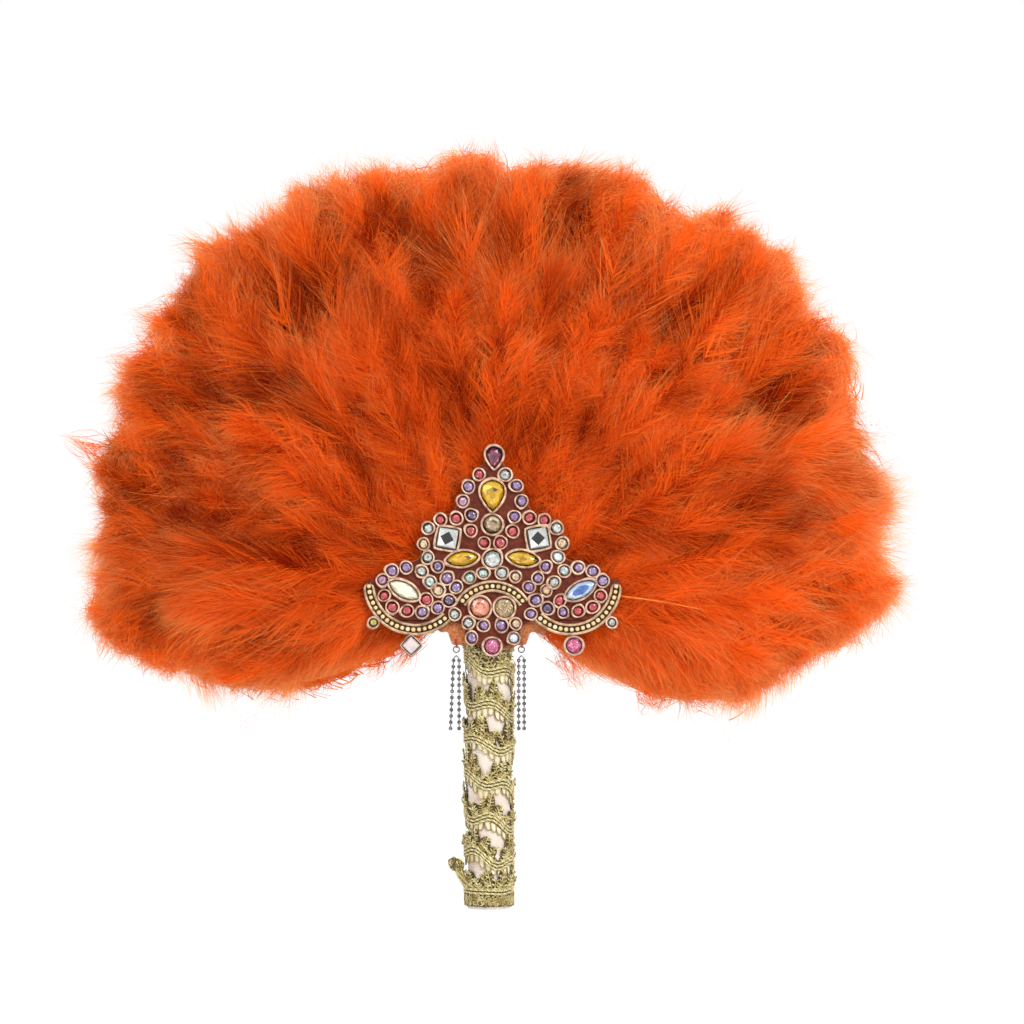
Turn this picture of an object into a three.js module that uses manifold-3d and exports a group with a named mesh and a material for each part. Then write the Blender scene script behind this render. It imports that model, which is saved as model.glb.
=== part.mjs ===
// Feather hand fan: a satin covered handle wound with gimp braid, a hub board that carries
// three layers of soft plumes, a jewelled applique over the quills and two hanging chain loops.
// Millimetres. The origin is the centre of the handle's flat end, +Z runs up the handle and
// the front faces -Y.

import * as THREE from 'three';
import { mergeVertices } from 'three/addons/utils/BufferGeometryUtils.js';
import Module from 'manifold-3d';

const wasm = await Module();
wasm.setup();

// Clearance left for glue or free running between neighbouring pieces
const GAP = 0.3;

// Handle
const CORE_RADIUS = 11.5;
const GRIP_LENGTH = 151; // from the flat end to the top of the satin
const CORE_RISE = 14; // of the core above the hub's centre
const CAP_THICKNESS = 3;
const CAP_CHAMFER = 1.2;
const SATIN_THICKNESS = 0.7;
const PIN_RADIUS = 1.2;
const PIN_INSET = 0.5; // of the pin's ends below the core's surface
const ROUND_SIDES = 24;
const PIN_SIDES = 12;

// Gimp braid round the handle
const BRAID_PITCH = 21.5;
const BRAID_THICKNESS = 2;
const BRAID_EDGE_THICKNESS = 0.9;
const BRAID_CORD_HALF = 2.2; // half the width of the corded middle
const BRAID_LOOP_DROP = 7.5; // from the middle down to the loops' tips
const BRAID_LEAF_RISE = 9; // from the middle up to the leaves' tips
const BRAID_NOTCH_RISE = 5; // from the middle up to the notches between leaves
const LEAVES_PER_TURN = 8;
const FOOT_LIFT = 1.5; // of the foot band above the flat end
const FOOT_HEIGHT = 10.5;
const FOOT_THICKNESS = 1.6;

// Hub board and back cover
const HUB_RISE = 24; // of the hub's centre above the satin
const HUB_RADIUS = 46;
const HUB_THICKNESS = 3;
const HUB_DIP = 25; // degrees that the board's rim runs below level
const TONGUE_DEPTH = 42; // of the tongue below the hub's centre
const TONGUE_INSET = 1.5; // of the tongue's edges from the core's sides
const PIN_HEIGHT = 10; // of the cross pin above the tongue's end
const COVER_RADIUS = 50;
const COVER_THICKNESS = 1.5;
const COVER_DIP = 20; // degrees

// Plumes
const FRONT_PLUMES = 11;
const BACK_PLUMES = 9;
const SHORT_PLUMES = 7;
const FAN_SPREAD = 212; // degrees between the outermost long quills
const SHORT_SPREAD = 180; // degrees between the outermost short quills
const TOP_REACH = 257; // from the hub's centre to the top tips
const EDGE_REACH = 165; // from the hub's centre to the lowest tips
const REACH_POWER = 5; // how late the reach falls towards the edges
const SHORT_REACH = 185;
const BACK_SHORTER = 5; // of the back plumes than the front ones
const EDGE_FLARE = 14; // degrees by which the lowest plumes spread below their quills
const EDGE_WIDTH = 22; // at most, below the lowest quills
const SIDE_GAP = 0.25; // of a plume from the line between it and its neighbour
const ROOT_CLEARANCE = 6; // of the quill ends from the core
const ROOT_THICKNESS = 2.6;
const ROOT_TAPER = 25; // length over which a quill swells
const LONG_PRESSED = 6; // thickness of the long front plumes under the applique
const LONG_FULL = 18;
const SHORT_FULL = 12;
const BACK_FULL = 22;
const SWELL_LENGTH = 55; // over which pressed plumes swell to their full thickness
const SWELL_DELAY = 8; // by which the long plumes swell further out than the short ones rise
const TIP_LENGTH = 50; // of the rounded tips

// Applique layout, in which lengths counted in pitches follow the settings
const SETTING_PITCH = 8.4; // between the centres of neighbouring small settings
const APPLIQUE_TOP = 8.4; // pitches from its middle stone to just past its top
const APPLIQUE_SHIFT = 2.1; // sideways from the handle
const APPLIQUE_RISE = 24.2; // of its middle stone above the hub's centre
const BACKING_THICKNESS = 1.2;
const BED_THICKNESS = 0.6;
const BED_INSET = 2;
const PLATE_THICKNESS = 1;
const PLATE_INSET = 1;
const SETTING_HEIGHT = 2.6;
const SETTING_RIM = 1.2;
const STONE_RADIUS = 2.7; // small round stones
const GIRDLE_BELOW_RIM = 0.5;
const CROWN_HEIGHT = 1.4;
const TABLE_SHARE = 0.4; // by which a stone's table is drawn in from its girdle
const SMALL_SIDES = 6;
const LARGE_SIDES = 8;
const NECK_WIDTH = 2.4; // of the strip that carries a drop stone
const NECK_LENGTH = 4; // past the drop's edge

// Larger stones: half lengths, half widths and radii, and their turns in degrees
const TOP_PEAR_LENGTH = 5.9;
const TOP_PEAR_WIDTH = 4.2;
const CITRINE_PEAR_LENGTH = 8.5;
const CITRINE_PEAR_WIDTH = 6.5;
const CITRINE_MARQUISE_LENGTH = 8.75;
const CITRINE_MARQUISE_WIDTH = 3.9;
const CITRINE_MARQUISE_TURN = 8;
const WING_MARQUISE_LENGTH = 9.25;
const WING_MARQUISE_WIDTH = 4.2;
const WING_MARQUISE_TURN = 28;
const SQUARE_HALF = 5.9;
const SQUARE_TURN = 10;
const SMOKY_RADIUS = 5;
const CRYSTAL_RADIUS = 4.75;
const PEACH_RADIUS = 5.5;
const DRUZY_RADIUS = 5.3;
const FOOT_ROUND_RADIUS = 4.25;
const SQUARE_DROP_HALF = 3.4;
const SQUARE_DROP_TURN = 45;
const ROUND_DROP_RADIUS = 4.2;
const SMALL_DROP_RADIUS = 2.2;
const HALF_TURN = 180; // of a stone that points down, and of what is mirrored

// Beaded rails on the applique
const RAIL_WIDTH = 5.7;
const RAIL_HEIGHT = 1.8;
const RAIL_FLOOR = 0.6;
const RAIL_LIP = 1.2;
const BEAD_RADIUS = 1.25;
const BEAD_SPACING = 3;
const BEAD_WAIST = 0.6; // radius of the row between two beads
const BEAD_SIDES = 6;

// Hanging chain loops
const CUP_PITCH = 3.5;
const CUP_LENGTH = 2.4;
const CUP_WIDTH = 2.2;
const CUP_DEPTH = 1.6;
const LINK_WIDTH = 0.9;
const LINK_DEPTH = 0.7;
const CUPS_ABOVE = 6; // on each strand above the middle knuckle
const CUPS_BELOW = 6;
const CHAIN_CLEARANCE = 1; // of the inner strand from the braid
const STRAND_SPACING = 3.1; // at the top
const LEFT_SPACING_AT_FOOT = 5;
const RIGHT_SPACING_AT_FOOT = 3.1;
const RING_RADIUS = 1.7;
const RING_WIRE = 0.45;
const KNUCKLE_GAP = 0.45; // from a knuckle's axis to the pieces on both sides
const YOKE_HEIGHT = 2;
const YOKE_DEPTH = 1;

// Derived places
const satinInner = CORE_RADIUS + GAP;
const satinOuter = satinInner + SATIN_THICKNESS;
const braidInner = satinOuter + GAP;
const braidOuter = braidInner + BRAID_THICKNESS;
const facePlane = braidOuter + GAP; // depth at which the applique and the back cover seat
const hubHeight = GRIP_LENGTH + HUB_RISE;
const coreBottom = CAP_THICKNESS + GAP;
const pinHeight = hubHeight - TONGUE_DEPTH + PIN_HEIGHT;
const quillFloor = HUB_THICKNESS / 2 + GAP;
const quillRoot = Math.max(CORE_RADIUS, CORE_RISE) + ROOT_CLEARANCE;
const pressRadius = APPLIQUE_RISE + APPLIQUE_TOP * SETTING_PITCH; // past the applique's top
const bedBottom = facePlane + BACKING_THICKNESS + GAP;
const plateBottom = bedBottom + BED_THICKNESS + GAP;
const plateTop = plateBottom + PLATE_THICKNESS;
const rimTop = plateBottom + SETTING_HEIGHT;
const girdle = rimTop - GIRDLE_BELOW_RIM;
const railBottom = plateTop + GAP;
const chainDepth = facePlane + BACKING_THICKNESS / 2;

const degrees = THREE.MathUtils.degToRad;
const point = (x, y) => new THREE.Vector2(x, y);

// Geometry helpers

// Keeps positions only, merges shared corners, drops empty triangles and turns faces outwards
function closed(geometry) {
  const bare = geometry.clone();
  bare.deleteAttribute('normal');
  bare.deleteAttribute('uv');
  const merged = mergeVertices(bare, 1e-4);
  const corners = merged.attributes.position;
  const [a, b, c] = [new THREE.Vector3(), new THREE.Vector3(), new THREE.Vector3()];
  const kept = [];
  let volume = 0;
  for (let i = 0; i < merged.index.count; i += 3) {
    const [p, q, r] = [0, 1, 2].map((k) => merged.index.getX(i + k));
    if (p === q || q === r || r === p) continue;
    kept.push([p, q, r]);
    a.fromBufferAttribute(corners, p);
    b.fromBufferAttribute(corners, q);
    c.fromBufferAttribute(corners, r);
    volume += a.dot(b.cross(c));
  }
  merged.setIndex(kept.flatMap(([p, q, r]) => (volume < 0 ? [p, r, q] : [p, q, r])));
  return merged;
}

function solid(geometry) {
  const mesh = closed(geometry);
  return new wasm.Manifold(new wasm.Mesh({
    numProp: 3,
    vertProperties: new Float32Array(mesh.attributes.position.array),
    triVerts: new Uint32Array(mesh.index.array),
  }));
}

function geometryOf(manifold) {
  const mesh = manifold.getMesh();
  const geometry = new THREE.BufferGeometry();
  geometry.setAttribute('position', new THREE.Float32BufferAttribute(mesh.vertProperties, 3));
  geometry.setIndex([...mesh.triVerts]);
  return geometry;
}

const joined = (solids) => solids.reduce((sum, next) => sum.add(next));

// Skins a row of equal sections, each a loop of 2D points that place() puts in space
function sweep(sections, place) {
  const turned = THREE.ShapeUtils.isClockWise(sections[0]);
  const loops = turned ? sections.map((loop) => [...loop].reverse()) : sections;
  const size = loops[0].length;
  const positions = loops.flatMap((loop, i) => loop.flatMap((p) => place(i, p)));
  const index = [];
  for (let i = 0; i + 1 < loops.length; i++) {
    for (let k = 0; k < size; k++) {
      const here = i * size + k;
      const next = i * size + ((k + 1) % size);
      index.push(here, next, here + size, next, next + size, here + size);
    }
  }
  const last = (loops.length - 1) * size;
  for (const [p, q, r] of THREE.ShapeUtils.triangulateShape(loops[0], [])) index.push(p, r, q);
  for (const [p, q, r] of THREE.ShapeUtils.triangulateShape(loops[loops.length - 1], [])) {
    index.push(last + p, last + q, last + r);
  }
  const geometry = new THREE.BufferGeometry();
  geometry.setAttribute('position', new THREE.Float32BufferAttribute(positions, 3));
  geometry.setIndex(index);
  return geometry;
}

const prism = (outline, bottom, top) =>
  sweep([outline, outline], (i, p) => [p.x, p.y, i === 0 ? bottom : top]);

// A turned solid about Z from a profile of [radius, height] points
const turned = (profile) =>
  new THREE.LatheGeometry(profile.map(([r, z]) => point(r, z)), ROUND_SIDES).rotateX(Math.PI / 2);

const collar = (inner, outer, bottom, top) =>
  turned([[inner, bottom], [outer, bottom], [outer, top], [inner, top], [inner, bottom]]);

// Materials
const material = (color, roughness, metalness = 0) => () =>
  new THREE.MeshStandardMaterial({ color, roughness, metalness });
const wood = material(0xc9a878, 0.7);
const satin = material(0xf3e9e4, 0.35);
const gimp = material(0xbfa55a, 0.45, 0.5);
const felt = material(0xc98a52, 0.95);
const feather = material(0xd9561c, 0.9);
const innerFeather = material(0xc24a16, 0.9);
const roseGold = material(0xc8a587, 0.3, 1);
const beadGold = material(0xf0d6a0, 0.25, 1);
const steel = material(0x8a8a8c, 0.35, 1);
const crystal = (color) => material(color, 0.08);

const fan = new THREE.Group();
// In the face group x runs right, y up from the hub's centre and z out towards the viewer
const face = new THREE.Group();
face.rotation.x = Math.PI / 2;
face.position.z = hubHeight;
fan.add(face);
const applique = new THREE.Group();
applique.position.set(APPLIQUE_SHIFT, APPLIQUE_RISE, 0);
face.add(applique);

function place(group, name, geometry, finish) {
  const mesh = new THREE.Mesh(closed(geometry), finish());
  mesh.name = name;
  group.add(mesh);
  return mesh;
}

// Handle

function handleCore() {
  const coreTop = hubHeight + CORE_RISE;
  const profile = [[0, coreBottom], [CORE_RADIUS, coreBottom], [CORE_RADIUS, coreTop], [0, coreTop]];
  const dowel = solid(turned(profile));
  const slotBottom = hubHeight - TONGUE_DEPTH - GAP;
  const slotHeight = coreTop - slotBottom + GAP;
  const slot = new THREE.BoxGeometry(CORE_RADIUS * 3, HUB_THICKNESS + 2 * GAP, slotHeight);
  slot.translate(0, 0, slotBottom + slotHeight / 2);
  const hole = new THREE.CylinderGeometry(PIN_RADIUS + GAP, PIN_RADIUS + GAP, CORE_RADIUS * 3, PIN_SIDES);
  hole.translate(0, 0, pinHeight);
  return geometryOf(dowel.subtract(solid(slot)).subtract(solid(hole)));
}

function endCap() {
  const flat = satinOuter - CAP_CHAMFER;
  const top = CAP_THICKNESS;
  return turned([[0, 0], [flat, 0], [satinOuter, CAP_CHAMFER], [satinOuter, top], [0, top]]);
}

function hubPin() {
  const length = 2 * (CORE_RADIUS - PIN_INSET);
  return new THREE.CylinderGeometry(PIN_RADIUS, PIN_RADIUS, length, PIN_SIDES).translate(0, 0, pinHeight);
}

// One strip wound down the handle, falling from left to right across the front
function braidWinding() {
  const stepsPerLeaf = 3;
  const steps = LEAVES_PER_TURN * stepsPerLeaf;
  const first = GRIP_LENGTH - GAP - BRAID_LEAF_RISE;
  const last = FOOT_LIFT + FOOT_HEIGHT + GAP + BRAID_LOOP_DROP;
  const count = Math.floor(((first - last) / BRAID_PITCH) * steps);
  const leafShape = [0.15, 1, 0.65];
  const sections = [];
  for (let i = 0; i <= count; i++) {
    const leaf = leafShape[i % stepsPerLeaf];
    const rise = THREE.MathUtils.lerp(BRAID_NOTCH_RISE, BRAID_LEAF_RISE, leaf);
    sections.push([
      point(0, -BRAID_LOOP_DROP),
      point(BRAID_EDGE_THICKNESS, -BRAID_LOOP_DROP),
      point(BRAID_THICKNESS, -BRAID_CORD_HALF),
      point(BRAID_THICKNESS, BRAID_CORD_HALF),
      point(BRAID_EDGE_THICKNESS, rise),
      point(0, rise),
    ]);
  }
  const heightAt = (i) => first - (BRAID_PITCH * i) / steps;
  let leastGap = Infinity;
  for (let i = 0; i + steps <= count; i++) {
    const upperEdge = heightAt(i) - BRAID_LOOP_DROP;
    const lowerEdge = heightAt(i + steps) + sections[i + steps][5].y;
    leastGap = Math.min(leastGap, upperEdge - lowerEdge);
  }
  console.log(`braid winding: least gap between its turns ${leastGap.toFixed(2)} mm`);
  return sweep(sections, (i, p) => {
    const angle = Math.PI + (2 * Math.PI * i) / steps;
    const radius = braidInner + p.x;
    return [radius * Math.cos(angle), radius * Math.sin(angle), heightAt(i) + p.y];
  });
}

place(fan, 'handle_core', handleCore(), wood);
place(fan, 'handle_satin', collar(satinInner, satinOuter, coreBottom, GRIP_LENGTH), satin);
place(fan, 'handle_end_cap', endCap(), satin);
place(fan, 'hub_pin', hubPin(), wood);
place(fan, 'braid_winding', braidWinding(), gimp);
const footBand = collar(braidInner, braidInner + FOOT_THICKNESS, FOOT_LIFT, FOOT_LIFT + FOOT_HEIGHT);
place(fan, 'braid_foot_band', footBand, gimp);

// Hub board and back cover

const sheet = (shape, depth) =>
  new THREE.ExtrudeGeometry(shape, { depth, bevelEnabled: false, curveSegments: ROUND_SIDES });

function hubBoard() {
  const tongue = CORE_RADIUS - TONGUE_INSET;
  const shoulder = HUB_RISE - GAP;
  const shape = new THREE.Shape();
  shape.absarc(0, 0, HUB_RADIUS, -degrees(HUB_DIP), Math.PI + degrees(HUB_DIP));
  shape.lineTo(-tongue, -shoulder);
  shape.lineTo(-tongue, -TONGUE_DEPTH);
  shape.lineTo(tongue, -TONGUE_DEPTH);
  shape.lineTo(tongue, -shoulder);
  shape.closePath();
  const board = sheet(shape, HUB_THICKNESS).translate(0, 0, -HUB_THICKNESS / 2);
  const hole = new THREE.CylinderGeometry(PIN_RADIUS + GAP, PIN_RADIUS + GAP, HUB_THICKNESS * 3, PIN_SIDES);
  hole.rotateX(Math.PI / 2).translate(0, pinHeight - hubHeight, 0);
  return geometryOf(solid(board).subtract(solid(hole)));
}

function backCover() {
  const shape = new THREE.Shape();
  shape.absarc(0, 0, COVER_RADIUS, -degrees(COVER_DIP), Math.PI + degrees(COVER_DIP));
  shape.closePath();
  return sheet(shape, COVER_THICKNESS).translate(0, 0, -facePlane - COVER_THICKNESS);
}

place(face, 'hub_board', hubBoard(), felt);
place(face, 'back_cover', backCover(), felt);

// Plumes

// Reach of a long plume whose quill leans this many degrees from upright
function reachAt(lean) {
  const share = Math.pow(lean / (FAN_SPREAD / 2), REACH_POWER);
  return TOP_REACH - (TOP_REACH - EDGE_REACH) * share;
}

// Rises in straight lines from the root to the pressed thickness and on to the full one
function thicknessAt(s, pressed, full, press) {
  const root = THREE.MathUtils.mapLinear(s, quillRoot, quillRoot + ROOT_TAPER, ROOT_THICKNESS, pressed);
  const swollen = THREE.MathUtils.mapLinear(s, press, press + SWELL_LENGTH, pressed, full);
  return s < quillRoot + ROOT_TAPER ? root : THREE.MathUtils.clamp(swollen, pressed, full);
}

// One plume along +Y from the hub's centre, with its flat back at floor(s)
function plume({ reach, halfWidth, floor, thickness, press }) {
  const tips = [0.78, 0.5, 0.22, 0.04].map((share) => reach - share * TIP_LENGTH);
  const swells = [quillRoot, quillRoot + ROOT_TAPER, press, press + SWELL_LENGTH];
  const stations = [...swells.filter((s) => s < tips[1]), ...tips].sort((a, b) => a - b);
  const crown = [[1, 0.5], [0.6, 0.82], [0, 1], [-0.6, 0.82], [-1, 0.5]];
  const sections = stations.map((s) => {
    const past = THREE.MathUtils.clamp((s - (reach - TIP_LENGTH)) / TIP_LENGTH, 0, 1);
    const round = Math.sqrt(1 - past * past);
    const left = halfWidth(s)[0] * round;
    const right = halfWidth(s)[1] * round;
    const depth = thickness(s) * round;
    const across = (share) => share * (share < 0 ? left : right);
    return [
      point(-left, floor(s)),
      point(right, floor(s)),
      ...crown.map(([share, height]) => point(across(share), floor(s) + height * depth)),
    ];
  });
  return sweep(sections, (i, p) => [p.x, stations[i], p.y]);
}

// A fan of plumes, numbered from the right hand edge
function plumeRow(name, count, spread, finish, build) {
  for (let i = 0; i < count; i++) {
    const step = spread / (count - 1);
    const lean = -spread / 2 + step * i; // degrees from upright, positive to the left
    const mesh = place(face, `${name}_${String(i + 1).padStart(2, '0')}`, build(lean, step, i), finish);
    mesh.rotation.z = degrees(lean);
  }
}

const wedge = (step) => (s) => s * Math.tan(degrees(step / 2)) - SIDE_GAP;
const flare = (s) => Math.min(s * Math.tan(degrees(EDGE_FLARE)), EDGE_WIDTH);

// Half widths left and right of the quill, with the lowest plumes flared on their free side
const rowWidths = (count, step, i) => (s) => [
  i === count - 1 ? flare(s) : wedge(step)(s),
  i === 0 ? flare(s) : wedge(step)(s),
];

const longPress = pressRadius + SWELL_DELAY;
const shortFloor = quillFloor + LONG_PRESSED + GAP;
const shortLift = (s) => THREE.MathUtils.clamp((s - pressRadius) / SWELL_LENGTH, 0, 1);
const shortPressed = facePlane - GAP - shortFloor;
const backPressed = facePlane - GAP - quillFloor;

plumeRow('plume_front', FRONT_PLUMES, FAN_SPREAD, feather, (lean, step, i) => plume({
  reach: reachAt(Math.abs(lean)),
  halfWidth: rowWidths(FRONT_PLUMES, step, i),
  floor: () => quillFloor,
  thickness: (s) => thicknessAt(s, LONG_PRESSED, LONG_FULL, longPress),
  press: longPress,
}));

plumeRow('plume_short', SHORT_PLUMES, SHORT_SPREAD, innerFeather, (lean, step) => plume({
  reach: SHORT_REACH,
  halfWidth: (s) => [wedge(step)(s), wedge(step)(s)],
  floor: (s) => shortFloor + shortLift(s) * (LONG_FULL - LONG_PRESSED),
  thickness: (s) => thicknessAt(s, shortPressed, SHORT_FULL, pressRadius),
  press: pressRadius,
}));

plumeRow('plume_back', BACK_PLUMES, FAN_SPREAD, feather, (lean, step, i) => {
  const press = COVER_RADIUS + ROOT_CLEARANCE;
  const geometry = plume({
    reach: reachAt(Math.abs(lean)) - BACK_SHORTER,
    halfWidth: rowWidths(BACK_PLUMES, step, i),
    floor: () => quillFloor,
    thickness: (s) => thicknessAt(s, backPressed, BACK_FULL, press),
    press,
  });
  return geometry.scale(1, 1, -1);
});

// Applique

// Small round settings of the right half, in pitches from the middle stone
const crownSeats = [
  [0.87, 5.68], [1.63, 4.92], [1.99, 3.88], [1.43, 2.88], [2.5, 2.74], [3.49, 2.6],
  [1.39, 1.88], [0.55, 1.1], [4.36, 2.05], [4.69, 0.99], [4.39, 0.07],
];
const wingSeats = [
  [3.65, -0.51], [4.8, -0.81], [5.81, -0.6], [6.79, -0.81], [7.44, -1.44], [3.08, -1.3],
  [1.51, -1.27], [0.62, -1], [4.18, -1.56], [2.44, -1.93], [3.67, -2.17], [7.3, -2.52],
  [4.48, -2.75], [2.94, -2.83], [6.73, -3.26], [5.77, -3.54], [4.73, -3.62], [3.73, -3.33],
  [2.57, -3.71],
];
const footSeats = [[1.63, -4.38], [0.57, -4.49], [1.4, -5.37]];
const bothSides = ([x, y]) => [[-x, y], [x, y]];

// A stone: its form, its place in pitches, and its half length and half width in millimetres
const stoneOf = (form, x, y, length, width, turn, sides) =>
  ({ form, x, y, length, width, turn: degrees(turn), sides });
const round = (x, y, radius, sides) => stoneOf('round', x, y, radius, radius, 0, sides);
const cut = (form, x, y, length, width, turn) => stoneOf(form, x, y, length, width, turn, LARGE_SIDES);

const smallStones = [...crownSeats, ...wingSeats, ...footSeats]
  .flatMap(bothSides)
  .map(([x, y]) => round(x, y, STONE_RADIUS, SMALL_SIDES));

// Larger stones that share the small ones' bed
const bedStones = [
  cut('pear', 0.05, 6.79, TOP_PEAR_LENGTH, TOP_PEAR_WIDTH, HALF_TURN),
  round(0.81, -3.32, DRUZY_RADIUS, LARGE_SIDES),
  round(0, -5.9, FOOT_ROUND_RADIUS, LARGE_SIDES),
];

// Drops that stand below the wing rails on a neck of the bed
const dropStones = [
  cut('square', -5.5, -5.85, SQUARE_DROP_HALF, SQUARE_DROP_HALF, SQUARE_DROP_TURN),
  round(5.5, -5.85, ROUND_DROP_RADIUS, LARGE_SIDES),
  ...bothSides([8.04, -4.29]).map(([x, y]) => round(x, y, SMALL_DROP_RADIUS, SMALL_SIDES)),
];

// Stones that come out one by one
const citrineMarquise = (x, turn) =>
  cut('marquise', x, 0, CITRINE_MARQUISE_LENGTH, CITRINE_MARQUISE_WIDTH, turn);
const wingMarquise = (x, turn) =>
  cut('marquise', x, -2.13, WING_MARQUISE_LENGTH, WING_MARQUISE_WIDTH, turn);
const squareStone = (x, turn) => cut('square', x, 1.39, SQUARE_HALF, SQUARE_HALF, turn);
const looseStones = {
  citrine_pear: cut('pear', 0, 4.23, CITRINE_PEAR_LENGTH, CITRINE_PEAR_WIDTH, HALF_TURN),
  smoky_round: round(0, 2.31, SMOKY_RADIUS, LARGE_SIDES),
  crystal_round: round(0, 0, CRYSTAL_RADIUS, LARGE_SIDES),
  citrine_marquise_left: citrineMarquise(-2.04, CITRINE_MARQUISE_TURN),
  citrine_marquise_right: citrineMarquise(2.04, -CITRINE_MARQUISE_TURN),
  square_stone_left: squareStone(-3.07, -SQUARE_TURN),
  square_stone_right: squareStone(3.07, SQUARE_TURN),
  opal_marquise: wingMarquise(-5.94, -WING_MARQUISE_TURN),
  blue_marquise: wingMarquise(5.94, WING_MARQUISE_TURN),
  peach_round: round(-0.83, -3.29, PEACH_RADIUS, LARGE_SIDES),
};
const stoneColours = {
  citrine_pear: 0xe1af1e,
  smoky_round: 0xa58c69,
  crystal_round: 0xe6e8e0,
  citrine_marquise_left: 0xe1af1e,
  citrine_marquise_right: 0xe1af1e,
  square_stone_left: 0xdfe2d8,
  square_stone_right: 0xdfe2d8,
  opal_marquise: 0xf0ebcd,
  blue_marquise: 0x9cc4f0,
  peach_round: 0xf0aa91,
};

// A stone's outline, grown all round by the given amount
function outlineOf(stone, grow) {
  const length = stone.length + grow;
  const width = stone.width + grow;
  const centre = point(stone.x, stone.y).multiplyScalar(SETTING_PITCH);
  const pearWidest = 0.77; // greatest value of the pear's width formula
  const forms = {
    round: (t) => point(length * Math.cos(t), width * Math.sin(t)),
    marquise: (t) => point(length * Math.cos(t), width * Math.sin(t) * Math.abs(Math.sin(t))),
    pear: (t) => point((-width * Math.sin(t) * Math.sin(t / 2)) / pearWidest, length * Math.cos(t)),
  };
  const square = [point(-length, -width), point(length, -width), point(length, width), point(-length, width)];
  const angles = Array.from({ length: stone.sides }, (_, i) => (2 * Math.PI * i) / stone.sides);
  const loop = stone.form === 'square' ? square : angles.map(forms[stone.form]);
  return loop.map((p) => p.rotateAround(point(0, 0), stone.turn).add(centre));
}

function cutStone(stone, bottom) {
  const drawnIn = -TABLE_SHARE * stone.width;
  const loops = [outlineOf(stone, 0), outlineOf(stone, 0), outlineOf(stone, drawnIn)];
  const heights = [bottom, girdle, girdle + CROWN_HEIGHT];
  return sweep(loops, (i, p) => [p.x, p.y, heights[i]]);
}

// The rails: a wing rail on each side and an arch over the middle, centres in pitches
const wingRail = { x: 5.24, y: -1.67, radius: 3.1, from: 0, to: -134 };
const archRail = { x: 0, y: -4.4, radius: 2.56, from: 36, to: 144 };
const mirrored = (rail) => ({ ...rail, x: -rail.x, from: HALF_TURN - rail.from, to: HALF_TURN - rail.to });
const rails = { left: mirrored(wingRail), right: wingRail, arch: archRail };

function alongRail(rail, sections) {
  return sweep(sections, (i, p) => {
    const turn = degrees(THREE.MathUtils.lerp(rail.from, rail.to, i / (sections.length - 1)));
    const radius = rail.radius * SETTING_PITCH + p.x;
    const x = rail.x * SETTING_PITCH + radius * Math.cos(turn);
    return [x, rail.y * SETTING_PITCH + radius * Math.sin(turn), p.y];
  });
}

const railLength = (rail) => rail.radius * SETTING_PITCH * degrees(Math.abs(rail.to - rail.from));

function railChannel(rail) {
  const outer = RAIL_WIDTH / 2;
  const inner = outer - RAIL_LIP;
  const floorTop = railBottom + RAIL_FLOOR;
  const lipTop = railBottom + RAIL_HEIGHT;
  const section = [
    point(-outer, railBottom), point(outer, railBottom), point(outer, lipTop), point(inner, lipTop),
    point(inner, floorTop), point(-inner, floorTop), point(-inner, lipTop), point(-outer, lipTop),
  ];
  const steps = Math.round(railLength(rail) / BEAD_SPACING);
  return alongRail(rail, Array(steps + 1).fill(section));
}

function beadRow(rail) {
  const beads = Math.round(railLength(rail) / BEAD_SPACING);
  const centre = railBottom + RAIL_FLOOR + GAP + BEAD_RADIUS;
  const ring = (radius) => Array.from({ length: BEAD_SIDES }, (_, k) => {
    const turn = (2 * Math.PI * (k + 0.5)) / BEAD_SIDES;
    return point(radius * Math.cos(turn), centre + radius * Math.sin(turn));
  });
  const sections = [];
  for (let i = 0; i <= 2 * beads; i++) sections.push(ring(i % 2 === 0 ? BEAD_WAIST : BEAD_RADIUS));
  return alongRail(rail, sections);
}

// Room that the settings leave for a rail
function railRoom(rail) {
  const half = RAIL_WIDTH / 2 + GAP;
  const top = rimTop + 1;
  const section = [point(-half, plateTop), point(half, plateTop), point(half, top), point(-half, top)];
  const oneDegree = Math.sign(rail.to - rail.from);
  const longer = { ...rail, from: rail.from - oneDegree, to: rail.to + oneDegree };
  const steps = Math.round(railLength(rail) / BEAD_SPACING);
  return alongRail(longer, Array(steps + 1).fill(section));
}

// Outline of the applique, its right half from the top to the foot, in pitches
const crownEdge = [
  [0, 7.8], [0.65, 7.5], [1, 6.43], [1.55, 5.83], [2.32, 5], [2.56, 4.05], [3.04, 3.33],
  [3.93, 3.15], [4.88, 2.5], [5.3, 1.19], [5.12, 0.18], [5.95, 0.06], [6.9, -0.18], [7.86, -0.5],
];
const wingEdge = { reach: 3.57, from: 12, to: -118, steps: 9 }; // an arc about the wing rail's centre
const sewnFoot = [[3.27, -5.83], [1.5, -5.83], [0.83, -6.73]]; // the backing, with its straight sewing edge
const plateFoot = [[2.3, -4.95], [2.15, -5.6], [0.83, -6.73]];

function appliqueOutline(foot, inset) {
  const arc = Array.from({ length: wingEdge.steps + 1 }, (_, i) => {
    const turn = degrees(THREE.MathUtils.lerp(wingEdge.from, wingEdge.to, i / wingEdge.steps));
    return [wingRail.x + wingEdge.reach * Math.cos(turn), wingRail.y + wingEdge.reach * Math.sin(turn)];
  });
  const right = [...crownEdge, ...arc, ...foot];
  const left = right.slice(1).reverse().map(([x, y]) => [-x, y]);
  const loop = [...right, ...left].map(([x, y]) => point(x, y).multiplyScalar(SETTING_PITCH));
  return loop.map((p) => p.clone().setLength(p.length() - inset));
}

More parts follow.
